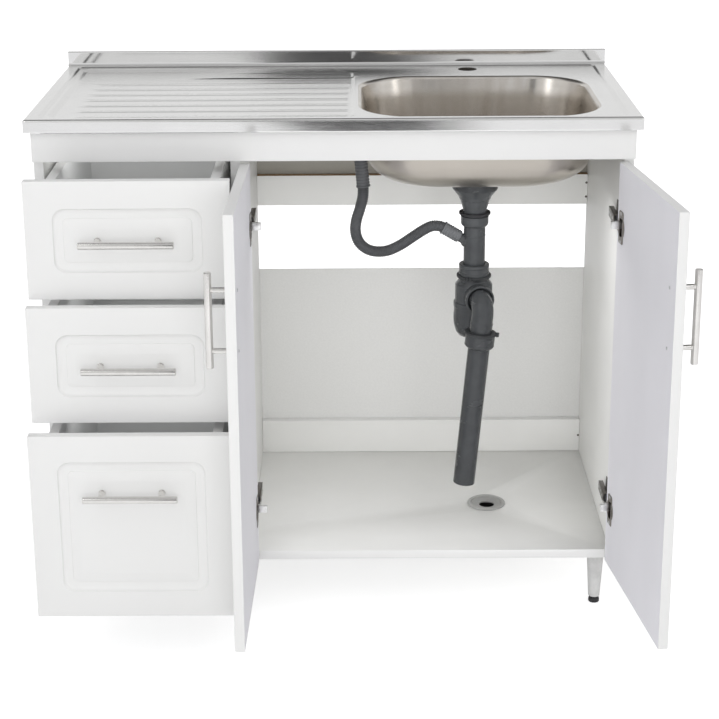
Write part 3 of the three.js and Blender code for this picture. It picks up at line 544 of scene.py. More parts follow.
def strip_edging(name, shade):
    """Thin plastic edging, a little glossier than the board's face."""
    finish = Finish(name, Specular_IOR_Level=0.45)
    ripple = finish.noise(160, 3)
    return finish.surface(
        Base_Color=finish.blend(finish.noise(9, 3), toned(shade, 0.98), shade),
        Roughness=0.28 + 0.14 * ripple,
        Normal=finish.bump(ripple, 0.03 * MM),
    )


def hardboard(name, shade, screen):
    """Hardboard: one smooth painted face, and a brown one with the mark of the press screen."""
    finish = Finish(name, Specular_IOR_Level=0.25)
    fibres = finish.noise(260, 6, 0.7)
    mesh_mark = finish.node("ShaderNodeTexWave", {"bands_direction": "X"},
                            {"Vector": finish.spot(), "Scale": 120, "Distortion": 1.5}, "Fac")
    return finish.surface(
        Base_Color=finish.blend(fibres, toned(shade, 0.9), toned(shade, 1.05)),
        Roughness=0.55 + 0.25 * fibres,
        Normal=finish.bump(fibres + screen * mesh_mark, (0.03 + 0.1 * screen) * MM),
    )


carcass_face = melamine("carcass_melamine", (0.85, 0.85, 0.83))
carcass_edge = strip_edging("carcass_edging", (0.85, 0.85, 0.84))
raw_edge = sawn_chipboard()
lining_face = melamine("drawer_melamine", (0.74, 0.745, 0.74))
lining_edge = strip_edging("drawer_edging", (0.80, 0.80, 0.79))
back_face = hardboard("back_painted_face", (0.80, 0.80, 0.785), 0.0)
back_brown = hardboard("back_brown_face", (0.34, 0.22, 0.13), 1.0)
# The high sheet's darker grey-brown inner face is painted shade under the worktop.
high_back_shade_face = hardboard("high_back_painted_shade_face", (0.40, 0.385, 0.345), 0.0)


def settled(thing):
    """The mesh of an object as its modifiers leave it. The object itself is removed."""
    mesh = bpy.data.meshes.new_from_object(
        thing.evaluated_get(bpy.context.evaluated_depsgraph_get()))
    bpy.data.objects.remove(thing)
    return mesh


def eased_board(node, name, finishes, kind_of_face, body="cabinet",
                ease=edge_break, top=None):
    """A board with its arrises taken off. kind_of_face picks a finish from a face's normal."""
    shape = bmesh.new()
    shape.from_mesh(frame["nodes"][node].data)
    bmesh.ops.remove_doubles(shape, verts=shape.verts, dist=0.01 * MM)
    bmesh.ops.dissolve_limit(shape, angle_limit=math.radians(1), verts=shape.verts,
                             edges=shape.edges)
    for face in shape.faces:
        face.material_index = kind_of_face(face.normal)
    for vert in shape.verts:
        if top is not None:
            vert.co.z = min(vert.co.z, top * MM)
    flat = meshed(shape, name)
    for finish in finishes:
        flat.materials.append(finish)
    rough_board = shown(name + "_square", flat)
    arris = rough_board.modifiers.new("arris", "BEVEL")
    arris.width = ease * MM
    arris.segments = 2
    arris.limit_method = "ANGLE"
    arris.angle_limit = math.radians(40)
    arris.material = -1
    arris.harden_normals = True
    flat.shade_smooth()
    return on_body(settled(rough_board), name, body, [node])


def banded_in_front(normal):
    if normal.y < -0.7:
        return banded
    return sawn if normal.y > 0.7 or normal.z < -0.7 else faced


def banded_rail(normal):
    return banded if normal.z < -0.7 else sawn if abs(normal.z) > 0.7 else faced


def banded_low_rail(normal):
    return banded if abs(normal.z) > 0.7 else faced


def painted_inside(normal):
    return banded if normal.y > 0.5 else faced


carcass_board = [carcass_face, carcass_edge, raw_edge]
eased_board("side_left", "left_side_panel", carcass_board, banded_in_front)
eased_board("side_right", "right_side_panel", carcass_board, banded_in_front)
eased_board("partition", "middle_partition", carcass_board, banded_in_front,
            top=under_the_drainer)
eased_board("bottom_panel", "cabinet_floor_panel", carcass_board,
            lambda normal: banded if normal.y < -0.7 else faced)
eased_board("back_rail_lower", "low_back_rail", carcass_board, banded_low_rail)
eased_board("back_rail_upper", "high_back_rail", carcass_board, banded_rail)
back_sheet = [back_face, back_brown]
eased_board("back_panel_lower", "low_back_sheet", back_sheet, painted_inside, "cabinet",
            0.2)
eased_board("back_panel_upper", "high_back_sheet", [high_back_shade_face, back_brown], painted_inside,
            "cabinet", 0.2)

# ---- Fronts ------------------------------------------------------------------------------------
# Fibreboard fronts, routed round a raised field and wrapped in white foil that covers the face
# and the edges. Their backs are plain greyish melamine. The doors have a bore for each hinge cup.

field_inset = 77.0
outer_corner = 20.0
cove_start = 44.0
cove_end = 60.5
cove_depth = 4.6
bevel_foot = 61.4
bevel_foot_depth = 3.3
field_depth = 0.7
foil_round = 1.2
cup_bore = 17.6
cup_bore_depth = 13.5


def wrapping_foil():
    """Satin white foil drawn over fibreboard, with the faint orange peel of the press."""
    finish = Finish("white_wrapping_foil", Specular_IOR_Level=0.5, Coat_Roughness=0.18)
    peel = finish.noise(420, 2, 0.5)
    telegraph = finish.noise(30, 3, 0.5)
    clouds = finish.noise(3.5, 3)
    return finish.surface(
        Base_Color=finish.blend(clouds, (0.862, 0.862, 0.85), (0.88, 0.88, 0.872)),
        Roughness=0.3 + 0.1 * telegraph,
        Coat_Weight=0.1 + 0.12 * clouds,
        Normal=finish.bump(peel, 0.02 * MM, finish.bump(telegraph, 0.06 * MM)),
    )


def rounded_loop(width, height, radius, steps, along_side=0):
    """Points of a rectangle with round corners, the same number whatever its size."""
    points = []
    corners = [(1, 1, 0), (-1, 1, 90), (-1, -1, 180), (1, -1, 270)]
    arcs = []
    for sign_x, sign_y, start in corners:
        middle = (sign_x * (width / 2 - radius), sign_y * (height / 2 - radius))
        turns = [math.radians(start + 90 * step / steps) for step in range(steps + 1)]
        arcs.append([(middle[0] + radius * math.cos(turn), middle[1] + radius * math.sin(turn))
                     for turn in turns])
    for arc, following in zip(arcs, arcs[1:] + arcs[:1]):
        points += arc
        for step in range(1, along_side + 1):
            t = step / (along_side + 1)
            points.append((arc[-1][0] + (following[0][0] - arc[-1][0]) * t,
                           arc[-1][1] + (following[0][1] - arc[-1][1]) * t))
    return points


def skin(shape, loops, closed_start=True, closed_end=True):
    """Joins loops of places into a surface."""
    rings = [[shape.verts.new(place) for place in loop] for loop in loops]
    for ring, further in zip(rings, rings[1:]):
        for step in range(len(ring)):
            nearby = (step + 1) % len(ring)
            shape.faces.new((ring[step], ring[nearby], further[nearby], further[step]))
    if closed_start:
        shape.faces.new(list(reversed(rings[0])))
    if closed_end:
        shape.faces.new(rings[-1])
    return rings


def quarter(steps, first=0):
    """The angles of a quarter turn in even steps."""
    return [math.pi / 2 * step / steps for step in range(first, steps + 1)]


def front_section():
    """The section of a front from its field out to its back, as (inset, depth, corner radius)."""
    section = [(field_inset + 0.8, field_depth - 0.02, 4.0), (field_inset, field_depth, 4.2)]
    section += [(bevel_foot + 0.5, bevel_foot_depth - 0.12, 7.6), (bevel_foot, bevel_foot_depth, 8),
                (cove_end + 0.4, cove_depth - 0.35, 8.4)]
    for step in range(9):
        share = step / 8
        inset = cove_end + (cove_start + 0.6 - cove_end) * share
        depth = cove_depth * math.sqrt(max(0, 1 - (max(share - 0.35, 0) / 0.65) ** 2.2))
        section.append((inset, depth, 9 + (outer_corner - 9) * share))
    section.append((cove_start, 0, outer_corner + 0.5))
    for turn in quarter(4):
        section.append((foil_round * (1 - math.sin(turn)), foil_round * (1 - math.cos(turn)), 1.6))
    section += [(0, board - 0.3, 1.6), (0.3, board, 1.3)]
    return section


def routed_front(width, height):
    """A front that stands in X and Z about the origin, its show face at y = 0."""
    shape = bmesh.new()
    loops = []
    for inset, depth, radius in front_section():
        loop = rounded_loop(width - 2 * inset, height - 2 * inset, radius, 6)
        loops.append([Vector((x, depth, z)) * MM for x, z in loop])
    skin(shape, loops)
    bmesh.ops.recalc_face_normals(shape, faces=shape.faces)
    for face in shape.faces:
        if face.normal.y > 0.9:
            face.material_index = 1
    return shape


def peg(shape, radius, depth, turn, sides):
    """Adds a round peg along its own Z to a bmesh."""
    bmesh.ops.create_cone(shape, cap_ends=True, segments=sides, radius1=radius * MM,
                          radius2=radius * MM, depth=depth * MM, matrix=turn)
    return shape


def bored(shape, places, radius, depth, sides=48):
    """Cuts round bores into the back of a front that lies about the origin."""
    drills = bmesh.new()
    for x, z in places:
        drill = Matrix.Translation(Vector((x, board - depth / 2 + 2, z)) * MM)
        peg(drills, radius, depth + 4, drill @ Matrix.Rotation(math.pi / 2, 4, "X"), sides)
    return carved(meshed(shape, "front_blank"), meshed(drills, "drill_bits"))


def carved(base, bit):
    """The first mesh less the second, as a new bmesh."""
    base_object, bit_object = shown("blank", base), shown("bit", bit)
    cutting = base_object.modifiers.new("cut", "BOOLEAN")
    cutting.operation = "DIFFERENCE"
    cutting.solver = "EXACT"
    cutting.object = bit_object
    result = bmesh.new()
    result.from_mesh(settled(base_object))
    bpy.data.objects.remove(bit_object)
    return result


front_finish = wrapping_foil()
door_back_finish = melamine("door_back_melamine", (0.87, 0.864, 0.905), (1, 1, 0.4))
front_finishes = [front_finish, door_back_finish]

for drawer in ("top", "middle", "bottom"):
    low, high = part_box("drawer_front_" + drawer)
    middle = (low + high) / 2
    size = (high - low) / MM
    placed(routed_front(size.x, size.z), f"{drawer}_drawer_front", front_finishes,
           "drawer_" + drawer, ["drawer_front_" + drawer],
           Matrix.Translation(Vector((middle.x, low.y, middle.z))), 30)

eased_board("front_rail", "front_fascia", [front_finish, raw_edge],
            lambda normal: 1 if normal.z > 0.7 else 0, "cabinet", 1.0)

pivot_from_edge = 8.5
pivot_behind_face = 2.0
cup_from_edge = 22.5
hinge_from_end = 105.0
door_joints = {joint["child"]: joint for joint in frame["joints"] if joint["type"] == "hinge"}
door_low, door_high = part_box("door_left")
door_middle_z = (door_low.z + door_high.z) / 2
door_height = (door_high.z - door_low.z) / MM
drawer_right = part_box("drawer_front_top")[1].x
cupboard_width = (at(488.5, 0, 0).x - drawer_right) / MM - 3.0
door_width = (cupboard_width - 3.0) / 2
door_pivots, door_turns = {}, {}
for hand, side in (("left", 1), ("right", -1)):
    joint = door_joints["door_" + hand]
    door_pivots[hand] = Vector((joint["pos_m"][0], joint["pos_m"][1], door_middle_z))
    open_deg = -joint["range_deg"][0]
    door_turns[hand] = (Matrix.Translation(door_pivots[hand])
                        @ Matrix.Rotation(-side * math.radians(open_deg), 4, "Z"))
    door_middle_x = side * (door_width / 2 - pivot_from_edge)
    cup_x = side * (cup_from_edge - door_width / 2)
    cup_z = door_height / 2 - hinge_from_end
    bored_door = bored(routed_front(door_width, door_height), [(cup_x, cup_z), (cup_x, -cup_z)],
                       cup_bore, cup_bore_depth)
    placed(bored_door, hand + "_door_panel", front_finishes, "door_" + hand,
           ["door_" + hand], door_turns[hand] @ Matrix.Translation(
               Vector((door_middle_x, -pivot_behind_face, 0)) * MM), 30)

# ---- Worktop -----------------------------------------------------------------------------------
# One pressed sheet of stainless steel, 1.2 mm thick. The middle is sunk a little, and the drainer
# on the left is sunk further and has ribs. The edge is folded down, and up and over at the back.

steel_sheet = 1.2
deck = 890.0
half_length, depth_of_top = 500.0, 500.0
edge_arc = 4.0
fold_foot = 868.2
hem_width = 5.0
upstand_front = 490.0
upstand_top = 915.0
recess_corners = ((-476.0, 18.0), (476.0, 474.0))
recess_round, recess_drop, recess_slope = 13.0, 3.0, 6.0
pan_corners = ((-462.0, 36.0), (31.0, 460.0))
pan_round, pan_drop, pan_slope, pan_back_slope = 14.0, 3.6, 12.0, 24.0
pan_cut_x, pan_cut_y = 34.0, 48.0
rib_count, rib_first, rib_last = 7, 50.0, 326.0
rib_left, rib_right, rib_width, rib_rise = -438.0, 27.0, 25.0, 0.85
drainer_steps = [
    # front line, how much higher behind it, left end, how far the left end takes to rise
    (421.0, 1.2, -235.0, 120.0),
    (379.0, 1.7, -330.0, 160.0),
]
drainer_step_width = 7.0
opening_lip = 7.0
bowl_corners = ((47.0, 31.0), (438.0, 373.0))
bowl_round = 90.0
tap_place, tap_radius = (241.0, 446.0), 17.5


def brushed_steel(name, shade, gloss, stretch, streaks=0.1, brush_depth_mm=0.010):
    """Rolled stainless steel: brush lines along one axis, soft clouds and fine handling scratches."""
    finish = Finish(name, Metallic=1.0)
    brush = finish.noise(1400, 3, 0.7, stretch)
    broad = finish.noise(160, 4, 0.6, stretch)
    clouds = finish.noise(7, 4, 0.6)
    tint = finish.blend(finish.ramp(clouds, (0.3, 0), (0.7, 1)), toned(shade, 0.95),
                        toned(shade, 1.03, 0.96))
    warm = (shade[0] * 0.98, shade[1] * 0.93, shade[2] * 0.86)
    return finish.surface(
        Base_Color=finish.blend(streaks * broad, tint, warm),
        Roughness=gloss - 0.04 + 0.05 * clouds + 0.06 * brush,
        Normal=finish.bump(brush, brush_depth_mm * MM, finish.bump(broad, 3 * brush_depth_mm * MM)),
    )


def lines_between(stops):
    """Grid lines from (start, stop, gap) stretches that follow each other."""
    lines = []
    for start, stop, gap in stops:
        count = max(1, round((stop - start) / gap))
        lines += [start + (stop - start) * step / count for step in range(count)]
    return [*lines, stops[-1][1]]


def eased_step(value):
    value = min(1.0, max(0.0, value))
    return value * value * (3 - 2 * value)


def inside(x, y, corners, corner_round):
    """How far a place lies inside a rectangle with round corners, negative outside."""
    (left, front), (right, back) = corners
    across = max(left + corner_round - x, x - right + corner_round)
    deep = max(front + corner_round - y, y - back + corner_round)
    beyond = math.hypot(max(across, 0), max(deep, 0))
    return corner_round - beyond - min(max(across, deep), 0)


def rib_height(y, middle, width, rise):
    off = abs(y - middle) / (width / 2)
    return rise * (0.5 + 0.5 * math.cos(math.pi * off)) if off < 1 else 0.0


def pressed_height(x, y):
    """The height of the deck's top face."""
    height = deck - recess_drop * eased_step(inside(x, y, recess_corners, recess_round)
                                             / recess_slope + 0.5)
    (left, front), (right, back) = pan_corners
    cut_line = (right - x) / pan_cut_x + (back - y) / pan_cut_y - 1
    within = min(inside(x, y, pan_corners, pan_round),
                 cut_line * math.hypot(pan_cut_x, pan_cut_y) / 2)
    slope = pan_back_slope if back - y < right - x and back - y < 0.5 * pan_back_slope + 4 \
        else pan_slope
    sunk = pan_drop * eased_step(within / slope + 0.5)
    for line, raised, left_end, rising in drainer_steps:
        fading = eased_step((x - left_end) / rising)
        sunk -= fading * raised * (1 - eased_step((line - y) / drainer_step_width + 0.5))
    height -= max(0.0, sunk)
    ends = eased_step((x - rib_left) / 26) * eased_step((rib_right - x) / 7)
    if ends > 0:
        for index in range(rib_count):
            middle = rib_first + (rib_last - rib_first) * index / (rib_count - 1)
            height += ends * rib_height(y, middle, rib_width, rib_rise)
    return height


def bowl_loop(grown, steps=14):
    """The bowl's opening, grown outwards, at one height, as x and y."""
    (left, front), (right, back) = bowl_corners
    loop = rounded_loop(right - left + 2 * grown, back - front + 2 * grown, bowl_round + grown,
                        steps, 6)
    return [((left + right) / 2 + x, (front + back) / 2 + y) for x, y in loop]


tap_rim_loop, tap_hole_loop = (
    [(tap_place[0] + radius * math.cos(2 * math.pi * step / 64),
      tap_place[1] + radius * math.sin(2 * math.pi * step / 64)) for step in range(64)]
    for radius in (tap_radius + 2.4, tap_radius))
deck_x = lines_between([(-496, -440, 1.6), (-440, -410, 3.0), (-410, -6, 12), (-6, 36, 1.5),
                        (36, 212, 11), (212, 270, 9.67), (270, 456, 12), (456, 496, 1.6)])
deck_y = lines_between([(edge_arc, 22.4, 1.53), (22.4, 388, 2.15), (388, 425, 2.2),
                        (425, 461, 2.0), (461, 486, 1.25)])
openings = [((36, 456), (22.4, 388), [bowl_loop(opening_lip)]),
            ((212, 270), (425, 468.5), [tap_rim_loop, tap_hole_loop])]


def in_opening(x, y):
    return any(left < x < right and front < y < back
               for (left, right), (front, back), _ in openings)


sheet_shape = bmesh.new()
deck_points = {}
for column, x in enumerate(deck_x):
    for row, y in enumerate(deck_y):
        if not in_opening(x, y):
            place = at(x, y, pressed_height(x, y))
            deck_points[column, row] = sheet_shape.verts.new(place)
for column in range(len(deck_x) - 1):
    for row in range(len(deck_y) - 1):
        middle_x = (deck_x[column] + deck_x[column + 1]) / 2
        middle_y = (deck_y[row] + deck_y[row + 1]) / 2
        if not in_opening(middle_x, middle_y):
            sheet_shape.faces.new([deck_points[column, row], deck_points[column + 1, row],
                                   deck_points[column + 1, row + 1], deck_points[column, row + 1]])
sheet_shape.edges.ensure_lookup_table()
for (left, right), (front, back), loops in openings:
    low, high = at(left, front, 0), at(right, back, 0)
    slack = 0.05 * MM
    fill_edges = []
    for edge in sheet_shape.edges:
        if not edge.is_boundary:
            continue
        if all(low.x - slack < vert.co.x < high.x + slack
               and low.y - slack < vert.co.y < high.y + slack for vert in edge.verts):
            fill_edges.append(edge)
    rings = [[sheet_shape.verts.new(at(x, y, deck - recess_drop)) for x, y in loop]
             for loop in loops]
    fill_edges += [sheet_shape.edges.new(pair)
                   for pair in zip(rings[0], rings[0][1:] + rings[0][:1])]
    bmesh.ops.triangle_fill(sheet_shape, use_beauty=True, use_dissolve=False, edges=fill_edges,
                            normal=(0, 0, 1))
    for ring, following in zip(rings, rings[1:]):
        for step in range(len(ring)):
            sheet_shape.faces.new((ring[step], ring[step - 1], following[step - 1],
                                   following[step]))


def folded_edge(ahead_points, outward_ways):
    """Folds the edge of the sheet down from its top face, with a hem turned in at the foot."""
    strips = []
    for (x, y), (out_x, out_y) in zip(ahead_points, outward_ways):
        places = []
        for turn in quarter(5):
            reach = edge_arc * math.sin(turn)
            places.append((reach, deck - edge_arc * (1 - math.cos(turn))))
        places += [(edge_arc, deck - edge_arc - 0.5), (edge_arc, (deck + fold_foot) / 2),
                   (edge_arc, fold_foot + 1.6), (edge_arc, fold_foot + 1),
                   (edge_arc - 0.3, fold_foot + 0.2), (edge_arc - 1.2, fold_foot),
                   (edge_arc - hem_width, fold_foot)]
        strips.append([sheet_shape.verts.new(at(x + out_x * reach, y + out_y * reach, z))
                       for reach, z in places])
    for strip, following in zip(strips, strips[1:]):
        for step in range(len(strip) - 1):
            sheet_shape.faces.new((strip[step], following[step], following[step + 1],
                                   strip[step + 1]))


left_edge = [((deck_x[0], y), (-1, 0)) for y in reversed(deck_y)]
front_left = [((deck_x[0], deck_y[0]), (-math.cos(turn), -math.sin(turn)))
              for turn in (math.pi * share / 12 for share in range(1, 6))]
front_edge = [((x, deck_y[0]), (0, -1)) for x in deck_x]
front_right = [((deck_x[-1], deck_y[0]), (math.sin(turn), -math.cos(turn)))
               for turn in (math.pi * share / 12 for share in range(1, 6))]
right_edge = [((deck_x[-1], y), (1, 0)) for y in deck_y]
edge_walk = left_edge + front_left + front_edge + front_right + right_edge
folded_edge([place for place, _ in edge_walk], [way for _, way in edge_walk])

upstand_profile = [(deck_y[-1], deck)]
for turn in quarter(5, 1):
    upstand_profile.append((deck_y[-1] + 4 * math.sin(turn), deck + 4 * (1 - math.cos(turn))))
upstand_profile += [(upstand_front, deck + 4.6), (upstand_front, upstand_top - 8),
                    (upstand_front, upstand_top - 2.2), (upstand_front, upstand_top - 1.6)]
for turn in quarter(4, 1):
    upstand_profile.append((upstand_front + 1.6 * (1 - math.cos(turn)),
                            upstand_top - 1.6 * (1 - math.sin(turn))))
for turn in quarter(4):
    upstand_profile.append((depth_of_top - 1.6 * (1 - math.sin(turn)),
                            upstand_top - 1.6 * (1 - math.cos(turn))))
upstand_profile += [(depth_of_top, deck), (depth_of_top, fold_foot + 0.6),
                    (depth_of_top - 1.2, fold_foot), (depth_of_top - hem_width - 1, fold_foot)]
upstand_x = [-half_length, *deck_x, half_length]
upstand_rows = [[sheet_shape.verts.new(at(x, y, z)) for x in upstand_x]
                for y, z in upstand_profile]
for row, above in zip(upstand_rows, upstand_rows[1:]):
    for step in range(len(row) - 1):
        sheet_shape.faces.new((row[step], row[step + 1], above[step + 1], above[step]))
for end in (0, -1):
    rim = [row[end] for row in upstand_rows[:-1]]
    corner = sheet_shape.verts.new(at(upstand_x[end], deck_y[-1], fold_foot))
    sheet_shape.faces.new([*rim, corner] if end == -1 else [corner, *reversed(rim)])
bmesh.ops.remove_doubles(sheet_shape, verts=sheet_shape.verts, dist=0.02 * MM)
bmesh.ops.recalc_face_normals(sheet_shape, faces=sheet_shape.faces)
sheet_shape.faces.ensure_lookup_table()
if max(sheet_shape.faces, key=lambda face: face.calc_center_median().z).normal.z < 0:
    bmesh.ops.reverse_faces(sheet_shape, faces=sheet_shape.faces)
for face in sheet_shape.faces:
    middle = face.calc_center_median()
    upright = abs(face.normal.z) < 0.75
    rim_face = middle.z > at(0, 0, deck + 0.5).z or middle.z < at(0, 0, deck - 5.5).z
    face.material_index = 1 if upright and rim_face else 0


def with_thickness(shape, name, thickness, side=-1.0):
    """Gives a pressed sheet its thickness, as a new bmesh."""
    thin_object = shown(name + "_sheet", meshed(shape, name + "_sheet"))
    wall = thin_object.modifiers.new("thickness", "SOLIDIFY")
    wall.thickness = thickness * MM
    wall.offset = side
    wall.use_quality_normals = True
    result = bmesh.new()
    result.from_mesh(settled(thin_object))
    return result


deck_steel = brushed_steel("deck_steel", (0.83, 0.83, 0.825), 0.2, (0.04, 1, 1), 0.12)
fold_steel = brushed_steel("polished_fold_steel", (0.86, 0.86, 0.86), 0.07, (0.03, 1, 1), 0.06,
                           0.004)
placed(with_thickness(sheet_shape, "worktop", steel_sheet), "pressed_steel_worktop",
       [deck_steel, fold_steel], "cabinet", ["sink_top"], smooth_deg=46)

# ---- Bowl --------------------------------------------------------------------------------------
# The bowl is deep drawn from steel sheet and welded under the lip of the worktop's opening. It has
# wide corners, a large bend to the floor, a round seat for the waste, and an overflow hole. A
# near-black ring under the deck round the tap hole is painted shade, seen through the hole.

bowl_depth = 146.0
bowl_wall = 84.0
bowl_taper = math.tan(math.radians(5.0))
bowl_bend = 100.0
floor_fall = 5.0
lip_arc = 7.0
bowl_skin_in = 1.5
bowl_sheet = 1.1
waste_seat = 45.0
waste_hole = 30.0
overflow_drop = 55.0
overflow_radius = 12.0
(bowl_left, bowl_front), (bowl_right, bowl_back) = bowl_corners
drain_x, drain_y = (bowl_left + bowl_right) / 2, (bowl_front + bowl_back) / 2
recess_z = deck - recess_drop
bowl_floor_z = recess_z - bowl_depth
wall_steps, bend_steps, lip_steps = 10, 14, 7


def bowl_section():
    """The bowl's inner skin from the lip down, as (inset from the opening, height)."""
    section = []
    for turn in quarter(lip_steps):
        section.append((-lip_arc * (1 - math.sin(turn)), recess_z - lip_arc * (1 - math.cos(turn))))
    for step in range(1, wall_steps + 1):
        down = lip_arc + (bowl_wall - lip_arc) * step / wall_steps
        section.append((down * bowl_taper + bowl_skin_in * min(1, step / 3), recess_z - down))
    bend_down = bowl_depth - floor_fall - bowl_wall
    for step in range(1, bend_steps + 1):
        turn = math.pi / 2 * step / bend_steps
        section.append((bowl_wall * bowl_taper + bowl_skin_in + bowl_bend * (1 - math.cos(turn)),
                        recess_z - bowl_wall - bend_down * math.sin(turn) + bowl_skin_in
                        * step / bend_steps))
    return section


bowl_shape = bmesh.new()
bowl_rings = []
for inset, z in bowl_section():
    corner = bowl_round - (0.35 * inset if inset > 0 else inset)
    width = bowl_right - bowl_left - 2 * inset
    length = bowl_back - bowl_front - 2 * inset
    loop = rounded_loop(width, length, min(corner, width / 2 - 1, length / 2 - 1), 14, 6)
    bowl_rings.append([at(drain_x + x, drain_y + y, z) for x, y in loop])
floor_edge = bowl_rings[-1]
centre = at(drain_x, drain_y, 0)
for share, drop in ((0.3, 0.25), (0.6, 0.55), (0.85, 0.85), (1.0, 1.0)):
    ring = []
    for place in floor_edge:
        off = Vector((place.x - centre.x, place.y - centre.y, 0))
        seat = off.normalized() * waste_seat * MM
        ring.append(centre + off.lerp(seat, share)
                    + Vector((0, 0, (bowl_floor_z + bowl_skin_in + floor_fall * (1 - drop)) * MM)))
    bowl_rings.append(ring)
for radius, drop in ((waste_seat - 1.5, 1.2), (waste_seat - 3.5, 1.6), (waste_hole + 0.5, 1.6),
                     (waste_hole - 1.0, 2.6)):
    ring = []
    for place in floor_edge:
        off = Vector((place.x - centre.x, place.y - centre.y, 0)).normalized() * radius * MM
        ring.append(centre + off + Vector((0, 0, (bowl_floor_z + bowl_skin_in - drop) * MM)))
    bowl_rings.append(ring)
skin(bowl_shape, bowl_rings, False, False)
bmesh.ops.recalc_face_normals(bowl_shape, faces=bowl_shape.faces)
bowl_shape.faces.ensure_lookup_table()
wall_face = max(bowl_shape.faces, key=lambda face: face.calc_center_median().x
                if face.calc_center_median().z < at(0, 0, recess_z - 30).z else -9)
if wall_face.normal.x > 0:
    bmesh.ops.reverse_faces(bowl_shape, faces=bowl_shape.faces)
solid_bowl = with_thickness(bowl_shape, "bowl", bowl_sheet)
# Outer faces take the second steel, darker and warmer: partly its own tone, partly painted shade.
for face in solid_bowl.faces:
    off = face.calc_center_median() - centre
    face.material_index = int(face.normal.dot(Vector((off.x, off.y, -0.12))) > 0)
overflow_punch = peg(bmesh.new(), overflow_radius, 50,
                     Matrix.Translation(at(bowl_left, drain_y, recess_z - overflow_drop))
                     @ Matrix.Rotation(math.pi / 2, 4, "Y"), 40)


def drawn_steel():
    """Deep drawn steel: upright brush marks and bands, a warmer grey and soft clouds."""
    finish = Finish("drawn_bowl_steel", Metallic=1.0)
    brush = finish.noise(900, 3, 0.6, (1, 1, 0.015))
    bands = finish.noise(30, 3, 0.55, (1, 1, 0.04))
    clouds = finish.noise(9, 4, 0.6)
    streaked = finish.blend(finish.ramp(bands, (0.38, 0), (0.66, 1)), (0.62, 0.585, 0.54),
                            (0.76, 0.735, 0.70))
    return finish.surface(
        Base_Color=finish.blend(finish.ramp(clouds, (0.3, 0), (0.75, 1)), streaked,
                                (0.64, 0.60, 0.55)),
        Roughness=0.19 + 0.06 * clouds + 0.03 * brush,
        Normal=finish.bump(brush, 0.002 * MM, finish.bump(bands, 0.07 * MM)),
    )


bowl_steel = drawn_steel()
# The outer skin's darker, warmer steel is partly its own tone and partly painted shade.
outside_steel_tone_and_shade = brushed_steel("bowl_outside_steel_tone_and_shade", (0.50, 0.47, 0.43), 0.3, (1, 1, 0.03), 0.3, 0.006)
# A near-black ring under the deck round the tap hole: painted shade seen through the hole.
tap_shade_finish = moulded_plastic("tap_hole_painted_shade", (0.05, 0.042, 0.034), 0.85, 1.2, 0.08)
shade_ring_top, shade_ring_height, shade_ring_radius = recess_z - steel_sheet - 0.1, 9.5, 27.0
placed(turned([(tap_radius + 0.2, -shade_ring_height), (shade_ring_radius, -shade_ring_height), (shade_ring_radius, 0),
               (tap_radius + 0.2, 0)], 64, 0.8), "tap_hole_shade_ring", tap_shade_finish, "cabinet",
       turn=Matrix.Translation(at(*tap_place, shade_ring_top)))
placed(carved(meshed(solid_bowl, "bowl_blank"), meshed(overflow_punch, "overflow_punch")),
       "drawn_steel_bowl", [bowl_steel, outside_steel_tone_and_shade], "cabinet", ["sink_bowl"],
       smooth_deg=50)

# ---- Handles -----------------------------------------------------------------------------------
# Satin stainless bars, 12 mm across and 151 mm long, with chamfered ends. Two posts stand 96 mm
# apart on small collars. On the doors, each post is held by a pan-headed screw from behind.

bar_radius = 5.94
post_radius = 4.5
post_spacing = 96.0
bar_standoff = 28.0
end_chamfer = 0.9
collar_radius, collar_height = 5.6, 1.3
post_neck = 0.5
screw_head_radius, screw_head_height = 2.9, 1.5
door_handle_from_free_edge = 30.0
door_handle_from_top = 172.0


def satin_steel():
    """Ground stainless bar: fine rings round the bar and a soft blotch."""
    finish = Finish("satin_handle_steel", Metallic=1.0)
    grind = finish.noise(2600, 3, 0.7, (1, 0.12, 0.12))
    blotch = finish.noise(45, 4, 0.6)
    return finish.surface(
        Base_Color=finish.blend(blotch, (0.66, 0.645, 0.625), (0.82, 0.81, 0.795)),
        Roughness=0.15 + 0.08 * grind + 0.05 * blotch,
        Normal=finish.bump(grind, 0.012 * MM),
    )


def zinc_plate(name, shade, gloss):
    """Bright zinc over pressed steel: cloudy crystals, a few darker rubs and a soft gloss."""
    finish = Finish(name, Metallic=1.0)
    crystals = finish.node("ShaderNodeTexVoronoi", {"feature": "SMOOTH_F1"},
                           {"Vector": finish.spot(), "Scale": 900, "Smoothness": 0.5})
    rubs = finish.noise(130, 5, 0.65)
    return finish.surface(
        Base_Color=finish.blend(finish.ramp(rubs, (0.32, 0), (0.6, 1)), toned(shade, 0.72), shade),
        Roughness=gloss + 0.1 * crystals + 0.12 * rubs,
        Normal=finish.bump(crystals + rubs, 0.012 * MM),
    )


handle_steel = satin_steel()
screw_zinc = zinc_plate("screw_zinc", (0.66, 0.665, 0.68), 0.26)


def merged(shape, other, turn=Matrix.Identity(4), finish=None):
    """Adds another bmesh to a shape."""
    if finish is not None:
        for face in other.faces:
            face.material_index = finish
    other.transform(turn)
    mesh = meshed(other, "part")
    shape.from_mesh(mesh)
    bpy.data.meshes.remove(mesh)


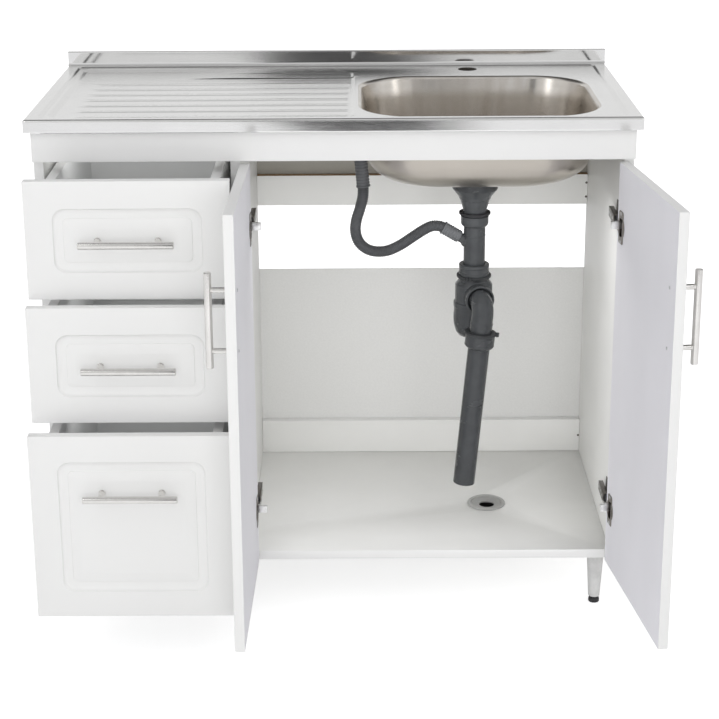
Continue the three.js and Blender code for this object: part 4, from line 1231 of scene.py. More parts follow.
def bar_handle():
    """A bar along X on two posts. The front it is screwed to lies at y = 0, behind it."""
    half = 151.0 / 2
    outline = [(0, -half), (bar_radius - end_chamfer, -half), (bar_radius, -half + end_chamfer),
               (bar_radius, half - end_chamfer), (bar_radius - end_chamfer, half), (0, half)]
    shape = bmesh.new()
    merged(shape, turned(outline, 40, 0.25), Matrix.Translation(Vector((0, -bar_standoff, 0)) * MM)
           @ Matrix.Rotation(math.pi / 2, 4, "Y"))
    for side in (-1, 1):
        foot = [(0, 0.05), (collar_radius, 0.05), (collar_radius, collar_height - 0.4),
                (collar_radius - 0.4, collar_height), (post_radius, collar_height),
                (post_radius, bar_standoff - bar_radius - 1.2),
                (post_radius - post_neck, bar_standoff - bar_radius - 0.4),
                (post_radius - post_neck, bar_standoff - 3), (0, bar_standoff - 3)]
        merged(shape, turned(foot, 32, 0.2),
               Matrix.Translation(Vector((side * post_spacing / 2, 0, 0)) * MM)
               @ Matrix.Rotation(math.pi / 2, 4, "X"))
    return shape


class Growth(Finish):
    """A Geometry Nodes tree while it is written, with named sizes in millimetres."""

    def __init__(self, name, **sizes):
        self.tree = bpy.data.node_groups.new(name, "GeometryNodeTree")
        new_socket = self.tree.interface.new_socket
        new_socket("Geometry", in_out="OUTPUT", socket_type="NodeSocketGeometry")
        new_socket("Geometry", in_out="INPUT", socket_type="NodeSocketGeometry")
        self.inputs = {}
        for label, value in sizes.items():
            kind = "NodeSocketInt" if label == "Count" else "NodeSocketFloat"
            socket = new_socket(label, in_out="INPUT", socket_type=kind)
            socket.default_value = value if label == "Count" else value * MM
            self.inputs[label] = socket.identifier
        self.start = self.tree.nodes.new("NodeGroupInput")

    def given(self, label):
        """One of the tree's inputs."""
        return Wire(self, self.start.outputs[label])

    def along_axes(self, x=0, y=0, z=0):
        return self.node("ShaderNodeCombineXYZ", {}, {0: x, 1: y, 2: z})

    def realized(self, copies):
        return self.node("GeometryNodeRealizeInstances", {}, {0: copies})

    def painted(self, geometry, finish):
        """Ends the tree: gives the geometry its material and hands it on."""
        coloured = self.node("GeometryNodeSetMaterial", {}, {"Geometry": geometry,
                                                             "Material": finish})
        self.feed(self.tree.nodes.new("NodeGroupOutput").inputs[0], coloured)
        return self


def grown(tree, points, **sizes):
    """The plain mesh that a tree makes on some points, for sizes in millimetres."""
    holder = shown(points.name, points)
    growing = holder.modifiers.new("growth", "NODES")
    growing.node_group = tree.tree
    for label, value in sizes.items():
        growing[tree.inputs[label]] = value if label == "Count" else value * MM
    return settled(holder)


def screw_tree(name, head_radius, head_height, slot_width, finish):
    """Geometry Nodes: a cross-headed screw on every point of the mesh, its head along +Z."""
    tree = Growth(name, head_radius=head_radius, head_height=head_height, slot_width=slot_width)
    radius, height = tree.given("head_radius"), tree.given("head_height")
    dome = tree.node("GeometryNodeMeshUVSphere", {}, {"Segments": 24, "Rings": 12,
                                                      "Radius": radius})
    flat = tree.along_axes(1, 1, height.maths("DIVIDE", height, radius))
    pressed = tree.node("GeometryNodeTransform", {}, {"Geometry": dome, "Scale": flat})
    arms = [tree.node("GeometryNodeMeshCube", {}, {"Size": tree.along_axes(x, y, height)})
            for x, y in ((radius, tree.given("slot_width")), (tree.given("slot_width"), radius))]
    cross = tree.node("GeometryNodeJoinGeometry", {}, {0: arms[0]})
    tree.feed(cross.socket.node.inputs[0], arms[1])
    raised = tree.node("GeometryNodeTransform", {},
                       {"Geometry": cross, "Translation": tree.along_axes(z=height)})
    driven = tree.node("GeometryNodeMeshBoolean", {"operation": "DIFFERENCE"},
                       {"Mesh 1": pressed, "Mesh 2": raised})
    facing = tree.node("GeometryNodeInputNamedAttribute", {"data_type": "FLOAT_VECTOR"},
                       {"Name": "facing"}, "Attribute")
    aim = tree.node("FunctionNodeAlignRotationToVector", {"axis": "Z"}, {"Vector": facing})
    spread = tree.node("GeometryNodeInstanceOnPoints", {},
                       {"Points": tree.given("Geometry"), "Instance": driven, "Rotation": aim})
    return tree.painted(tree.realized(spread), finish)


def screws(name, heads, body, tree):
    """Screw heads at given places, each facing its own way, as one plain mesh on a body."""
    points = bpy.data.meshes.new(name + "_points")
    points.from_pydata([place for place, _ in heads], [], [])
    facing = points.attributes.new("facing", "FLOAT_VECTOR", "POINT")
    for index, (_, way) in enumerate(heads):
        facing.data[index].vector = way
    mesh = grown(tree, points)
    mesh.shade_smooth()
    mesh.set_sharp_from_angle(angle=math.radians(35))
    return on_body(mesh, name, body)


pan_head = screw_tree("pan_head_screws", screw_head_radius, screw_head_height, 0.7, screw_zinc)

for drawer in ("top", "middle", "bottom"):
    low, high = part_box("drawer_handle_" + drawer)
    front_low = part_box("drawer_front_" + drawer)[0]
    middle = (low + high) / 2
    placed(bar_handle(), drawer + "_drawer_handle", handle_steel, "drawer_" + drawer,
           ["drawer_handle_" + drawer],
           Matrix.Translation(Vector((middle.x, front_low.y, middle.z))), 40)

for hand, side in (("left", 1), ("right", -1)):
    handle_x = side * (door_width - pivot_from_edge - door_handle_from_free_edge)
    handle_z = door_height / 2 - door_handle_from_top
    upright = (door_turns[hand]
               @ Matrix.Translation(Vector((handle_x, -pivot_behind_face, handle_z)) * MM))
    placed(bar_handle(), hand + "_door_handle", handle_steel, "door_" + hand,
           ["door_handle_" + hand], upright @ Matrix.Rotation(math.pi / 2, 4, "Y"), 40)
    inner_face = board - pivot_behind_face
    heads = []
    for step in (-1, 1):
        place = Vector((handle_x, inner_face - 0.1, handle_z + step * post_spacing / 2)) * MM
        heads.append((door_turns[hand] @ place, door_turns[hand].to_3x3() @ Vector((0, 1, 0))))
    screws(hand + "_door_handle_screws", heads, "door_" + hand, pan_head)

# ---- Hinges ------------------------------------------------------------------------------------
# Concealed hinges of pressed steel. A cup with two ears is screwed to the door. A channel-shaped
# arm sits on a stamped plate on the cupboard side, and a bright link reaches from it to the cup.

cup_radius, cup_depth, cup_wall = 17.3, 11.4, 1.1
cup_rim_radius, cup_rim_height = 18.6, 1.25
ear_height, ear_width, ear_thick, ear_round = 55.0, 24.0, 1.1, 5.0
link_from_edge, link_thick, link_reach, link_lift = 18.0, 6.0, 17.5, 4.5
arm_half, arm_thick, arm_start, arm_end = 8.5, 8.0, 33.0, 92.0
nose_x, nose_thick, nose_half, nose_tip = 15.6, 2.4, 6.5, 3.8
plate_half, plate_start, plate_end, plate_thick = 25.0, 45.0, 72.0, 2.5
fit_gap = 0.3
hinge_wall = 1.3

flange_zinc = zinc_plate("hinge_cup_zinc", (0.27, 0.245, 0.225), 0.26)
arm_zinc = zinc_plate("hinge_arm_zinc", (0.24, 0.225, 0.21), 0.28)
link_zinc = zinc_plate("hinge_link_steel", (0.93, 0.93, 0.93), 0.2)
# Near-black for the mouth of the arm's channel and two pads on its plate: painted shade.
painted_gap_shade = zinc_plate("hinge_inside_painted_shade", (0.10, 0.10, 0.105), 0.4)


def boxed(shape, low, high, finish=0, ease=0.4):
    """Adds a block with its edges taken off."""
    size = Vector(high) - Vector(low)
    made = bmesh.ops.create_cube(shape, size=1.0)["verts"]
    for vert in made:
        vert.co = Vector([low[axis] + (vert.co[axis] + 0.5) * size[axis] for axis in range(3)]) * MM
    edges = list(dict.fromkeys(edge for vert in made for edge in vert.link_edges))
    for face in dict.fromkeys(face for vert in made for face in vert.link_faces):
        face.material_index = finish
    if ease:
        room = min(ease, 0.3 * min(size)) * MM
        bmesh.ops.bevel(shape, geom=edges, offset=room, offset_type="OFFSET", segments=2,
                        profile=0.5, affect="EDGES", material=-1, clamp_overlap=True)


def hinge_cup():
    """Cup, rim and ears about the cup's middle, the door's inner face at y = 0 and the room +Y."""
    shape = bmesh.new()
    cup = turned([(0, -cup_depth), (cup_radius, -cup_depth), (cup_radius, 0.2),
                  (cup_rim_radius, 0.2), (cup_rim_radius, 0.9), (cup_rim_radius - 0.5, cup_rim_height),
                  (cup_radius - cup_wall, cup_rim_height), (cup_radius - cup_wall - 0.4, 0),
                  (cup_radius - cup_wall - 0.6, -cup_depth + cup_wall), (0, -cup_depth + cup_wall)],
                 56, 0.4)
    upright = Matrix.Rotation(-math.pi / 2, 4, "X")
    merged(shape, cup, upright)
    ears = bmesh.new()
    outer = rounded_loop(ear_width, ear_height, ear_round, 6)
    loops = []
    for inset, y in ((0.0, 0.31), (0.0, ear_thick - 0.35), (0.35, ear_thick)):
        loops.append([Vector((x * (1 - 2 * inset / ear_width), y,
                              z * (1 - 2 * inset / ear_height))) * MM for x, z in outer])
    inner_loop = []
    for x, z in outer:
        reach = (cup_radius - cup_wall - 0.2) / math.hypot(x, z)
        inner_loop.append((x * reach, z * reach))
    loops.append([Vector((x, ear_thick, z)) * MM for x, z in inner_loop])
    loops.append([Vector((x, 0.31, z)) * MM for x, z in inner_loop])
    rings = skin(ears, loops, False, False)
    for step in range(len(outer)):
        nearby = (step + 1) % len(outer)
        ears.faces.new((rings[-1][step], rings[-1][nearby], rings[0][nearby], rings[0][step]))
    bmesh.ops.recalc_face_normals(ears, faces=ears.faces)
    merged(shape, ears)
    return shape


def hinge_arm(wall_x):
    """The arm, its nose and its plate in the pivot's frame, for a door that runs along +X."""
    nose_back = nose_x + nose_thick
    low_x = nose_back - arm_thick
    under = wall_x + fit_gap
    shape = bmesh.new()
    boxed(shape, (nose_x, nose_tip, -nose_half),
          (nose_back, arm_start + 6, link_lift - nose_half - 0.4), 1, 0.8)
    boxed(shape, (nose_back - hinge_wall, arm_start, -arm_half), (nose_back, arm_end, arm_half), 0)
    for side in (-1, 1):
        face_z = side * arm_half
        other = side * (arm_half - hinge_wall)
        boxed(shape, (low_x, arm_start + 1, min(face_z, other)),
              (nose_back - 0.3, arm_end - 1, max(face_z, other)), 0)
    # A near-black block in the mouth of the channel: painted shade.
    boxed(shape, (low_x + 0.5, arm_start + 2, -arm_half + 2), (nose_back - 3, arm_start + 9,
          arm_half - 2), 2)
    boxed(shape, (under + 1, plate_start + 2, -arm_half + 1.6), (low_x + 3, plate_end - 2,
          arm_half - 1.6), 0)
    boxed(shape, (under, plate_start, -plate_half), (under + plate_thick - 0.8, plate_end,
          plate_half), 0, 0.8)
    boxed(shape, (under + plate_thick - 1.2, plate_start + 3, -plate_half + 3),
          (under + plate_thick - 0.1, plate_end - 3, plate_half - 3), 0, 0.6)
    # Two dark pads on the plate, in the same painted-shade finish.
    for side in (-1, 1):
        boxed(shape, (under + plate_thick - 1, plate_start + 6.5, side * 16.5 - 4.2),
              (under + plate_thick, plate_end - 6.5, side * 16.5 + 4.2), 2, 0.3)
    return shape


ear_screws = screw_tree("ear_screws", 3.4, 1.1, 0.9, screw_zinc)
arm_screws = screw_tree("arm_screws", 3.3, 0.9, 0.9, screw_zinc)
wall_faces = {"left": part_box("partition")[1].x, "right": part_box("side_right")[0].x}
for hand, side in (("left", 1), ("right", -1)):
    turn, pivot = door_turns[hand], door_pivots[hand]
    mirror = Matrix.Diagonal((side, 1, 1, 1))
    face_way = turn.to_3x3() @ Vector((0, 1, 0))
    ear_heads = []
    for level, up in (("upper", 1), ("lower", -1)):
        level_z = up * (door_height / 2 - hinge_from_end)
        cup_middle = Vector((side * (cup_from_edge - pivot_from_edge),
                             board - pivot_behind_face, level_z))
        cup = hinge_cup()
        link_x = link_from_edge - cup_from_edge
        link = bmesh.new()
        boxed(link, (link_x, -2.0, link_lift - nose_half), (link_x + link_thick, link_reach,
              link_lift + nose_half), 1, 1.2)
        merged(cup, link, mirror)
        bmesh.ops.recalc_face_normals(cup, faces=cup.faces)
        placed(cup, f"{hand}_{level}_hinge_cup", [flange_zinc, link_zinc], "door_" + hand,
               [f"hinge_cup_{hand}_{level}"],
               turn @ Matrix.Translation(cup_middle * MM))
        for step in (-1, 1):
            place = cup_middle + Vector((0, ear_thick - 0.2, step * (ear_height / 2 - 3.7)))
            ear_heads.append((turn @ (place * MM), face_way))
        wall_x = side * (wall_faces[hand] - pivot.x) / MM
        arm = hinge_arm(wall_x)
        arm.transform(mirror)
        bmesh.ops.recalc_face_normals(arm, faces=arm.faces)
        placed(arm, f"{hand}_{level}_hinge_arm", [arm_zinc, link_zinc, painted_gap_shade], "cabinet",
               [f"hinge_arm_{hand}_{level}"],
               Matrix.Translation(pivot + Vector((0, 0, level_z)) * MM))
    screws(hand + "_hinge_cup_screws", ear_heads, "door_" + hand, ear_screws)
    arm_heads = []
    for up in (1, -1):
        level_z = up * (door_height / 2 - hinge_from_end)
        for y in (arm_start + 13, arm_start + 33, arm_end - 9):
            place = Vector((side * (nose_x + nose_thick - 0.5), y, level_z))
            arm_heads.append((pivot + place * MM, Vector((side, 0, 0))))
    screws(hand + "_hinge_arm_screws", arm_heads, "cabinet", arm_screws)

# ---- Drawers and runners -----------------------------------------------------------------------
# Boxes of 16 mm greyish board with a hardboard-thin base let into a groove. White painted steel
# runners: a folded profile on the wall with slots and a roller, and a strip with a roller below
# each side of the box.

for drawer in ("top", "middle", "bottom"):
    eased_board("drawer_box_" + drawer, drawer + "_drawer_box", [lining_face, lining_edge],
                lambda normal: 1 if abs(normal.z) > 0.7 else 0, "drawer_" + drawer,
                0.5)
    eased_board("drawer_bottom_" + drawer, drawer + "_drawer_base", [lining_face],
                lambda normal: 0, "drawer_" + drawer, 0.3)

runner_height, runner_reach, runner_sheet = 28.0, 19.0, 1.5
runner_bend = 2.2
roller_radius, roller_width = 10.5, 7.0
box_strip_height, box_strip_thick = 22.0, 1.2
runner_slot_spacing = 64.0
slot_length, slot_width, slot_raise = 14.0, 5.0, 0.35


def painted_steel():
    """Sheet steel with a baked white enamel, slightly orange-peeled and rubbed at the tracks."""
    finish = Finish("runner_enamel", Specular_IOR_Level=0.5)
    peel = finish.noise(700, 2)
    rubs = finish.noise(60, 5, 0.65, (1, 0.06, 1))
    return finish.surface(
        Base_Color=finish.blend(finish.ramp(rubs, (0.5, 0), (0.78, 1)), (0.80, 0.80, 0.79),
                                (0.60, 0.60, 0.60)),
        Roughness=0.3 + 0.2 * rubs,
        Normal=finish.bump(peel, 0.02 * MM),
    )


enamel = painted_steel()
roller_nylon = moulded_plastic("roller_nylon", (0.66, 0.66, 0.64), 0.35, 0.6)


def bent_strip(profile, start_y, stop_y, side, cuts=8):
    """A folded strip: its section in x and z, run along Y, mirrored by side."""
    shape = bmesh.new()
    rounded = eased([(x + 100, z) for x, z in profile], runner_bend, 4)
    loops = []
    for step in range(cuts + 1):
        y = start_y + (stop_y - start_y) * step / cuts
        loops.append([Vector((side * (x - 100), y, z)) * MM for x, z in rounded])
    skin(shape, loops)
    bmesh.ops.recalc_face_normals(shape, faces=shape.faces)
    return shape


def slot_tree(finish):
    """Geometry Nodes: a row of pressed slots with raised lips, evenly spaced along +Y."""
    tree = Growth("pressed_slots", Length=slot_length, Width=slot_width, Raise=slot_raise,
                  Spacing=runner_slot_spacing, Count=6)
    row = tree.node("GeometryNodeMeshLine", {}, {
        "Count": tree.given("Count"), "Offset": tree.along_axes(y=tree.given("Spacing"))})
    size = tree.along_axes(tree.given("Raise"), tree.given("Length"), tree.given("Width"))
    lip = tree.node("GeometryNodeMeshCube", {}, {"Size": size})
    inner = tree.node("ShaderNodeVectorMath", {"operation": "MULTIPLY"},
                      {0: size, 1: (2.0, 0.82, 0.5)})
    mouth = tree.node("GeometryNodeMeshCube", {}, {"Size": inner})
    hollow = tree.node("GeometryNodeMeshBoolean", {"operation": "DIFFERENCE"},
                       {"Mesh 1": lip, "Mesh 2": mouth})
    spread = tree.node("GeometryNodeInstanceOnPoints", {}, {"Points": row, "Instance": hollow})
    place = tree.node("GeometryNodeInputPosition")
    first = tree.node("GeometryNodeAttributeStatistic", {"data_type": "FLOAT_VECTOR"},
                      {"Geometry": tree.given("Geometry"), "Attribute": place}, "Mean")
    shift = tree.node("ShaderNodeVectorMath", {"operation": "ADD"}, {0: place, 1: first})
    moved = tree.node("GeometryNodeSetPosition", {},
                      {"Geometry": tree.realized(spread), "Position": shift})
    return tree.painted(moved, finish)


def slot_row(shape, tree, first, count):
    """Adds a row of slots, the first at a place in metres, to a bmesh."""
    spot_mesh = bpy.data.meshes.new("slot_row")
    spot_mesh.from_pydata([first], [], [])
    mesh = grown(tree, spot_mesh, Count=count)
    shape.from_mesh(mesh)
    bpy.data.meshes.remove(mesh)


slots = slot_tree(enamel)
runner_screws = screw_tree("runner_screws", 3.2, 0.9, 0.8, screw_zinc)
for drawer in ("top", "middle", "bottom"):
    box_low, box_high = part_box("drawer_box_" + drawer)
    for hand, side in (("left", 1), ("right", -1)):
        low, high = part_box(f"runner_{drawer}_{hand}")
        length = (high.y - low.y) / MM
        profile = [(0, 0), (runner_reach, 0), (runner_reach, runner_sheet),
                   (runner_sheet, runner_sheet), (runner_sheet, runner_height), (0, runner_height)]
        rail = bent_strip(profile, 0, length, side)
        slot_row(rail, slots, Vector((side * (runner_sheet + 0.1), 40, 17)) * MM, 6)
        roller = turned([(0, 0), (roller_radius - 1.6, 0), (roller_radius - 1.6, 0.8),
                         (roller_radius, 1.4), (roller_radius, roller_width - 1.4),
                         (roller_radius - 1.6, roller_width - 0.8),
                         (roller_radius - 1.6, roller_width), (0, roller_width)], 36, 0.4)
        merged(rail, roller, Matrix.Translation(
            Vector((side * (runner_sheet + 1.0), 13, runner_sheet + roller_radius + 3)) * MM)
            @ Matrix.Rotation(side * math.pi / 2, 4, "Y"), 1)
        wall_x = low.x if side > 0 else high.x
        placed(rail, f"{drawer}_{hand}_runner", [enamel, roller_nylon], "cabinet",
               [f"runner_{drawer}_{hand}"],
               Matrix.Translation(Vector((wall_x, low.y, low.z))))
        heads = [(Vector((wall_x + side * (runner_sheet - 0.1) * MM, low.y + y * MM,
                          low.z + 22 * MM)), Vector((side, 0, 0))) for y in (28, 210, 372)]
        screws(f"{drawer}_{hand}_runner_screws", heads, "cabinet", runner_screws)

        side_x = box_low.x if side > 0 else box_high.x
        strip = bent_strip([(-box_strip_thick, 0), (0, 0), (0, box_strip_height),
                            (-box_strip_thick, box_strip_height)], 3,
                           (box_high.y - box_low.y) / MM - 3, side, 1)
        wheel = turned([(0, 0), (7.4, 0), (7.4, 0.8), (8.6, 1.2), (8.6, 5.4), (7.4, 5.8),
                        (7.4, 6.6), (0, 6.6)], 32, 0.4)
        merged(strip, wheel, Matrix.Translation(Vector((
            -side * (box_strip_thick + 0.3), (box_high.y - box_low.y) / MM - 16, 11.5)) * MM)
            @ Matrix.Rotation(-side * math.pi / 2, 4, "Y"), 1)
        placed(strip, f"{drawer}_{hand}_drawer_strip", [enamel, roller_nylon], "drawer_" + drawer,
               turn=Matrix.Translation(
                   Vector((side_x - side * 0.05 * MM, box_low.y, box_low.z + 1.2 * MM))))

# ---- Legs and feet -----------------------------------------------------------------------------
# Tapered legs of turned white plastic with a collar under the cabinet, and a black rubber-soled
# screw foot below each.

leg_height, foot_height = 100.0, 11.0
leg_finish = moulded_plastic("white_leg_plastic", (0.68, 0.68, 0.67), 0.3, 0.8)
foot_finish = moulded_plastic("black_foot_rubber", (0.022, 0.022, 0.024), 0.45, 0.5, 0.03)
stem_finish = zinc_plate("foot_stem_zinc", (0.62, 0.63, 0.64), 0.25)
for row in ("front", "back"):
    for hand in ("left", "right"):
        low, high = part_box(f"leg_{row}_{hand}")
        centre_line = Matrix.Translation(Vector(((low.x + high.x) / 2, (low.y + high.y) / 2, 0)))
        leg = turned([
            (4.3, foot_height + 0.3), (9.2, foot_height + 0.3), (10.2, foot_height + 1.0),
            (10.25, foot_height + 2.2), (10.1, foot_height + 2.7), (10.35, foot_height + 3.1),
            (14.9, leg_height - 9.5), (15.1, leg_height - 8.8), (15.95, leg_height - 8.4),
            (15.95, leg_height - 0.6), (15.5, leg_height - 0.3), (0, leg_height - 0.3),
            (0, leg_height - 54), (4.3, leg_height - 54)], 56, 0.35)
        placed(leg, f"{row}_{hand}_leg", leg_finish, "cabinet",
               [f"leg_{row}_{hand}"], centre_line)
        foot = turned([
            (0, 0), (9.0, 0), (9.7, 0.9), (9.75, 4.6), (9.2, 7.0), (7.7, 9.3), (5.6, 10.4),
            (4.9, 10.7), (0, 10.9)], 48, 0.5)
        thread = [(0, 10.4), (4.0, 10.4)]
        for turn_of_thread in range(15):
            z = 11.2 + 1.9 * turn_of_thread
            thread += [(3.5, z), (3.5, z + 0.4), (3.95, z + 0.9), (3.95, z + 1.2)]
        thread += [(3.4, 40.2), (2.6, 41.0), (0, 41.0)]
        merged(foot, turned(thread, 24, 0.1), finish=1)
        placed(foot, f"{row}_{hand}_screw_foot", [foot_finish, stem_finish],
               f"levelling_foot_{row}_{hand}", [f"foot_{row}_{hand}"], centre_line)

# ---- Fasteners in the carcass ------------------------------------------------------------------
# Dark heads of the fittings that hold the back rails, in the corner to the right side panel.

dark_fastener = zinc_plate("dark_fastener", (0.16, 0.145, 0.13), 0.3)
rail_screws = screw_tree("rail_screws", 2.2, 0.9, 0.8, dark_fastener)
upper_low, upper_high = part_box("back_rail_upper")
lower_low, lower_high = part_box("back_rail_lower")
rail_heads = []
for low, high, shares in ((upper_low, upper_high, (0.25, 0.72)), (lower_low, lower_high, (0.5,))):
    for share in shares:
        place = Vector((high.x - 2.4 * MM, low.y - 0.1 * MM, low.z + (high.z - low.z) * share))
        rail_heads.append((place, Vector((0, -1, 0))))
screws("back_rail_fittings", rail_heads, "cabinet", rail_screws)

# ---- Waste and tailpiece -----------------------------------------------------------------------
# A pressed steel grid in the bowl over a moulded basket waste. A black rubber ring and a nut with
# a lug hold the tailpiece, which has a branch for the overflow hose.

drain_z = recess_z - bowl_depth
waste_seat_z = drain_z + bowl_sheet + bowl_skin_in
grid_plate_z = drain_z - 15.0
grid_hole_radius, grid_hole_ring, grid_holes = 3.6, 17.0, 8
drain_shade = (0.044, 0.047, 0.050)
drain_finish = moulded_plastic("drain_plastic", drain_shade, 0.26, 0.8, 0.014)
seam_finish = moulded_plastic("drain_plastic_seam", toned(drain_shade, 0.62), 0.5, 0.4)
gasket_finish = moulded_plastic("black_gasket_rubber", (0.016, 0.016, 0.018), 0.5, 0.4, 0.02)
drain_axis = Matrix.Translation(at(drain_x, drain_y, 0))


def ring_tree(name, finish, lying=False):
    """Geometry Nodes: ribs, or lying punch bits, evenly round an upright axis."""
    tree = Growth(name, Radius=1, Depth=1, Width=1, Height=1, Level=0, Count=3)
    width, height = tree.given("Width"), tree.given("Height")
    circle = tree.node("GeometryNodeMeshCircle", {}, {"Vertices": tree.given("Count"),
                                                      "Radius": tree.given("Radius")})
    aim = tree.node("FunctionNodeAlignRotationToVector", {"axis": "X", "pivot_axis": "Z"},
                    {"Vector": tree.node("GeometryNodeInputPosition")})
    spread = {"Points": circle, "Rotation": aim}
    if lying:
        spread["Instance"] = tree.node("GeometryNodeMeshCylinder", {}, {
            "Vertices": 28, "Radius": width, "Depth": height})
    else:
        spread["Instance"] = tree.node("GeometryNodeMeshUVSphere", {}, {
            "Segments": 10, "Rings": 10, "Radius": 0.5})
        spread["Scale"] = tree.along_axes(tree.given("Depth"), width, height)
    raised = tree.node("GeometryNodeTransform", {}, {
        "Geometry": tree.node("GeometryNodeInstanceOnPoints", {}, spread),
        "Translation": tree.along_axes(z=tree.given("Level"))})
    return tree.painted(tree.realized(raised), finish)


def ringed(tree, **sizes):
    """The plain mesh that a ring tree makes for those sizes."""
    seed = bpy.data.meshes.new("ring_seed")
    seed.from_pydata([(0, 0, 0)], [], [])
    mesh = grown(tree, seed, **sizes)
    mesh.polygons.foreach_set("material_index", [0] * len(mesh.polygons))
    return mesh


grid_finish = brushed_steel("waste_grid_steel", (0.80, 0.80, 0.80), 0.16, (1, 1, 1), 0.1)
grip_ribs = ring_tree("grip_ribs", drain_finish)
punch_bits = ring_tree("punch_bits", grid_finish, lying=True)

basket = turned([
    (0, grid_plate_z), (27.6, grid_plate_z), (29.5, grid_plate_z + 2), (29.6, waste_seat_z - 0.6),
    (31.0, waste_seat_z + 0.3), (41.9, waste_seat_z + 0.1), (42.0, waste_seat_z + 0.7),
    (40.6, waste_seat_z + 1.6), (30.4, waste_seat_z + 1.8), (28.5, waste_seat_z + 0.2),
    (28.3, grid_plate_z + 3.0), (26.9, grid_plate_z + 1.4), (0, grid_plate_z + 1.3)], 72, 0.9)
holes = bmesh.new()
holes.from_mesh(ringed(punch_bits, Count=grid_holes, Radius=grid_hole_ring,
                       Width=grid_hole_radius, Height=8, Level=grid_plate_z))
peg(holes, grid_hole_radius, 8, Matrix.Translation(Vector((0, 0, grid_plate_z)) * MM), 28)
placed(carved(meshed(basket, "waste_basket"), meshed(holes, "grid_holes")), "steel_waste_grid",
       grid_finish, "cabinet", ["waste_grid"], drain_axis, 40)

waste = turned([
    (30.6, 740.6), (39.8, 740.6), (39.9, 724.8), (39.2, 722.6), (30.4, 711.4), (29.2, 709.4),
    (26.8, 704.2), (25.9, 703.6), (21.0, 686.0), (20.8, 682.0), (20.8, 677.6),
    (21.4, 677.2), (21.4, 661.8), (19.6, 661.8), (19.6, 687.0), (26.0, 712.0)],
    64, 0.7)
merged(waste, turned([(20.4, 681.4), (27.4, 681.2), (27.6, 680.4), (27.6, 678.0), (27.2, 677.2),
                      (20.4, 677.1)], 64, 0.4), finish=1)
placed(waste, "basket_waste_body", [drain_finish, gasket_finish], "cabinet",
       ["waste_body"], drain_axis)

waste_nut = turned([
    (19.5, 656.1), (21.2, 656.1), (23.4, 658.4), (24.3, 661.4), (24.3, 672.6),
    (24.6, 673.2), (24.6, 674.3), (21.9, 674.4), (21.9, 659.2), (19.5, 659.0)], 64, 0.4)
lug = bmesh.new()
boxed(lug, (21.5, -3.4, 661.5), (24.7, 3.4, 672.0), 0, 1.0)
merged(waste_nut, lug, Matrix.Rotation(math.radians(217), 4, "Z"))
placed(waste_nut, "ribbed_waste_nut", drain_finish, "cabinet", ["waste_nut"],
       drain_axis)

branch_z, branch_rise = 619.5, math.radians(31)
branch_way = Vector((-math.cos(branch_rise), 0, math.sin(branch_rise)))
tail = turned([
    (19.0, 520.4), (18.6, 520.0), (17.0, 520.0), (17.0, 661.2), (21.4, 661.2), (21.4, 659.4),
    (19.0, 659.2), (19.0, 640.0), (19.5, 639.4), (19.5, 638.2), (19.0, 637.6)], 64, 0.4)
root = turned([(0, 14.0), (11.6, 14.0), (11.2, 19.5), (10.2, 21.0), (9.2, 22.0), (8.5, 23.0),
               (8.5, 45.4), (8.1, 46.0), (6.8, 46.0), (6.8, 20.0), (0, 20.0)], 40, 0.6)
root.transform(along(Vector((0, 0, branch_z)) * MM, branch_way))
merged(tail, root)
placed(tail, "tailpiece_with_branch", drain_finish, "cabinet", ["tailpiece"],
       drain_axis)

# ---- Trap and outlet ---------------------------------------------------------------------------
# A bottle trap of grey plastic clipped round the tailpiece. Its cup is ribbed for the grip. A ring
# clamp and a nut hold the elbow and the slanting outlet pipe, which ends above the grommet.

outlet_z, outlet_yaw, outlet_tilt = 533.0, math.radians(10), math.radians(5.4)


def clamp_ring(inner, outer, low, high, lug_turn_deg, lug_reach=7.5):
    """A ring clamp with its screw lug pointing away at an angle."""
    shape = turned([(inner, low), (outer, low), (outer, high), (inner, high)], 64, 0.9)
    lug = bmesh.new()
    boxed(lug, (outer - 3, -4.6, low - 0.8), (outer + lug_reach - 3, -0.7, high + 0.8), 0, 1.0)
    boxed(lug, (outer - 3, 0.7, low - 0.8), (outer + lug_reach - 3, 4.6, high + 0.8), 0, 1.0)
    screw = turned([(0, -6.6), (2.4, -6.6), (2.6, -5.9), (2.6, -5.0), (1.4, -4.6), (1.4, 5.4),
                    (2.6, 5.6), (2.6, 7.0), (0, 7.2)], 18, 0.2)
    screw.transform(Matrix.Translation(Vector((outer + lug_reach - 6.2, 0, (low + high) / 2)) * MM)
                    @ Matrix.Rotation(math.pi / 2, 4, "X"))
    merged(lug, screw, finish=1)
    merged(shape, lug, Matrix.Rotation(math.radians(lug_turn_deg), 4, "Z"))
    return shape


trap = turned([
    (19.2, 587.0), (25.6, 587.0), (26.9, 585.6), (26.9, 581.5), (26.2, 580.8), (26.2, 573.0),
    (26.9, 572.4), (26.9, 562.0), (26.9, 557.5), (31.8, 550.8), (32.8, 549.0), (32.8, 518.6),
    (35.0, 517.4), (35.4, 516.0), (35.4, 509.0), (34.6, 508.0), (34.6, 480.5), (34.9, 479.0),
    (34.2, 474.0), (31.0, 462.6), (26.0, 456.0), (16.0, 452.4), (0, 452.0), (0, 454.6),
    (15.0, 455.4), (30.0, 478.0), (30.4, 549.0), (19.2, 557.0)], 72, 1.2)
trap.from_mesh(ringed(grip_ribs, Count=24, Radius=34.1, Depth=2.2, Width=3.0, Height=24.0,
                      Level=489.5))
merged(trap, clamp_ring(26.5, 30.4, 562.6, 567.4, 250, 6.5), finish=2)
ahead_way = Vector((math.sin(outlet_yaw), -math.cos(outlet_yaw), 0))
socket = turned([
    (0, 24.0), (23.6, 24.0), (23.6, 42.2), (25.4, 43.4), (25.5, 48.6), (24.4, 50.0), (22.6, 50.0),
    (21.8, 49.0), (21.6, 40.0), (0, 40.0)], 64, 0.7)
merged(trap, socket, along(Vector((0, 0, outlet_z)) * MM, ahead_way))
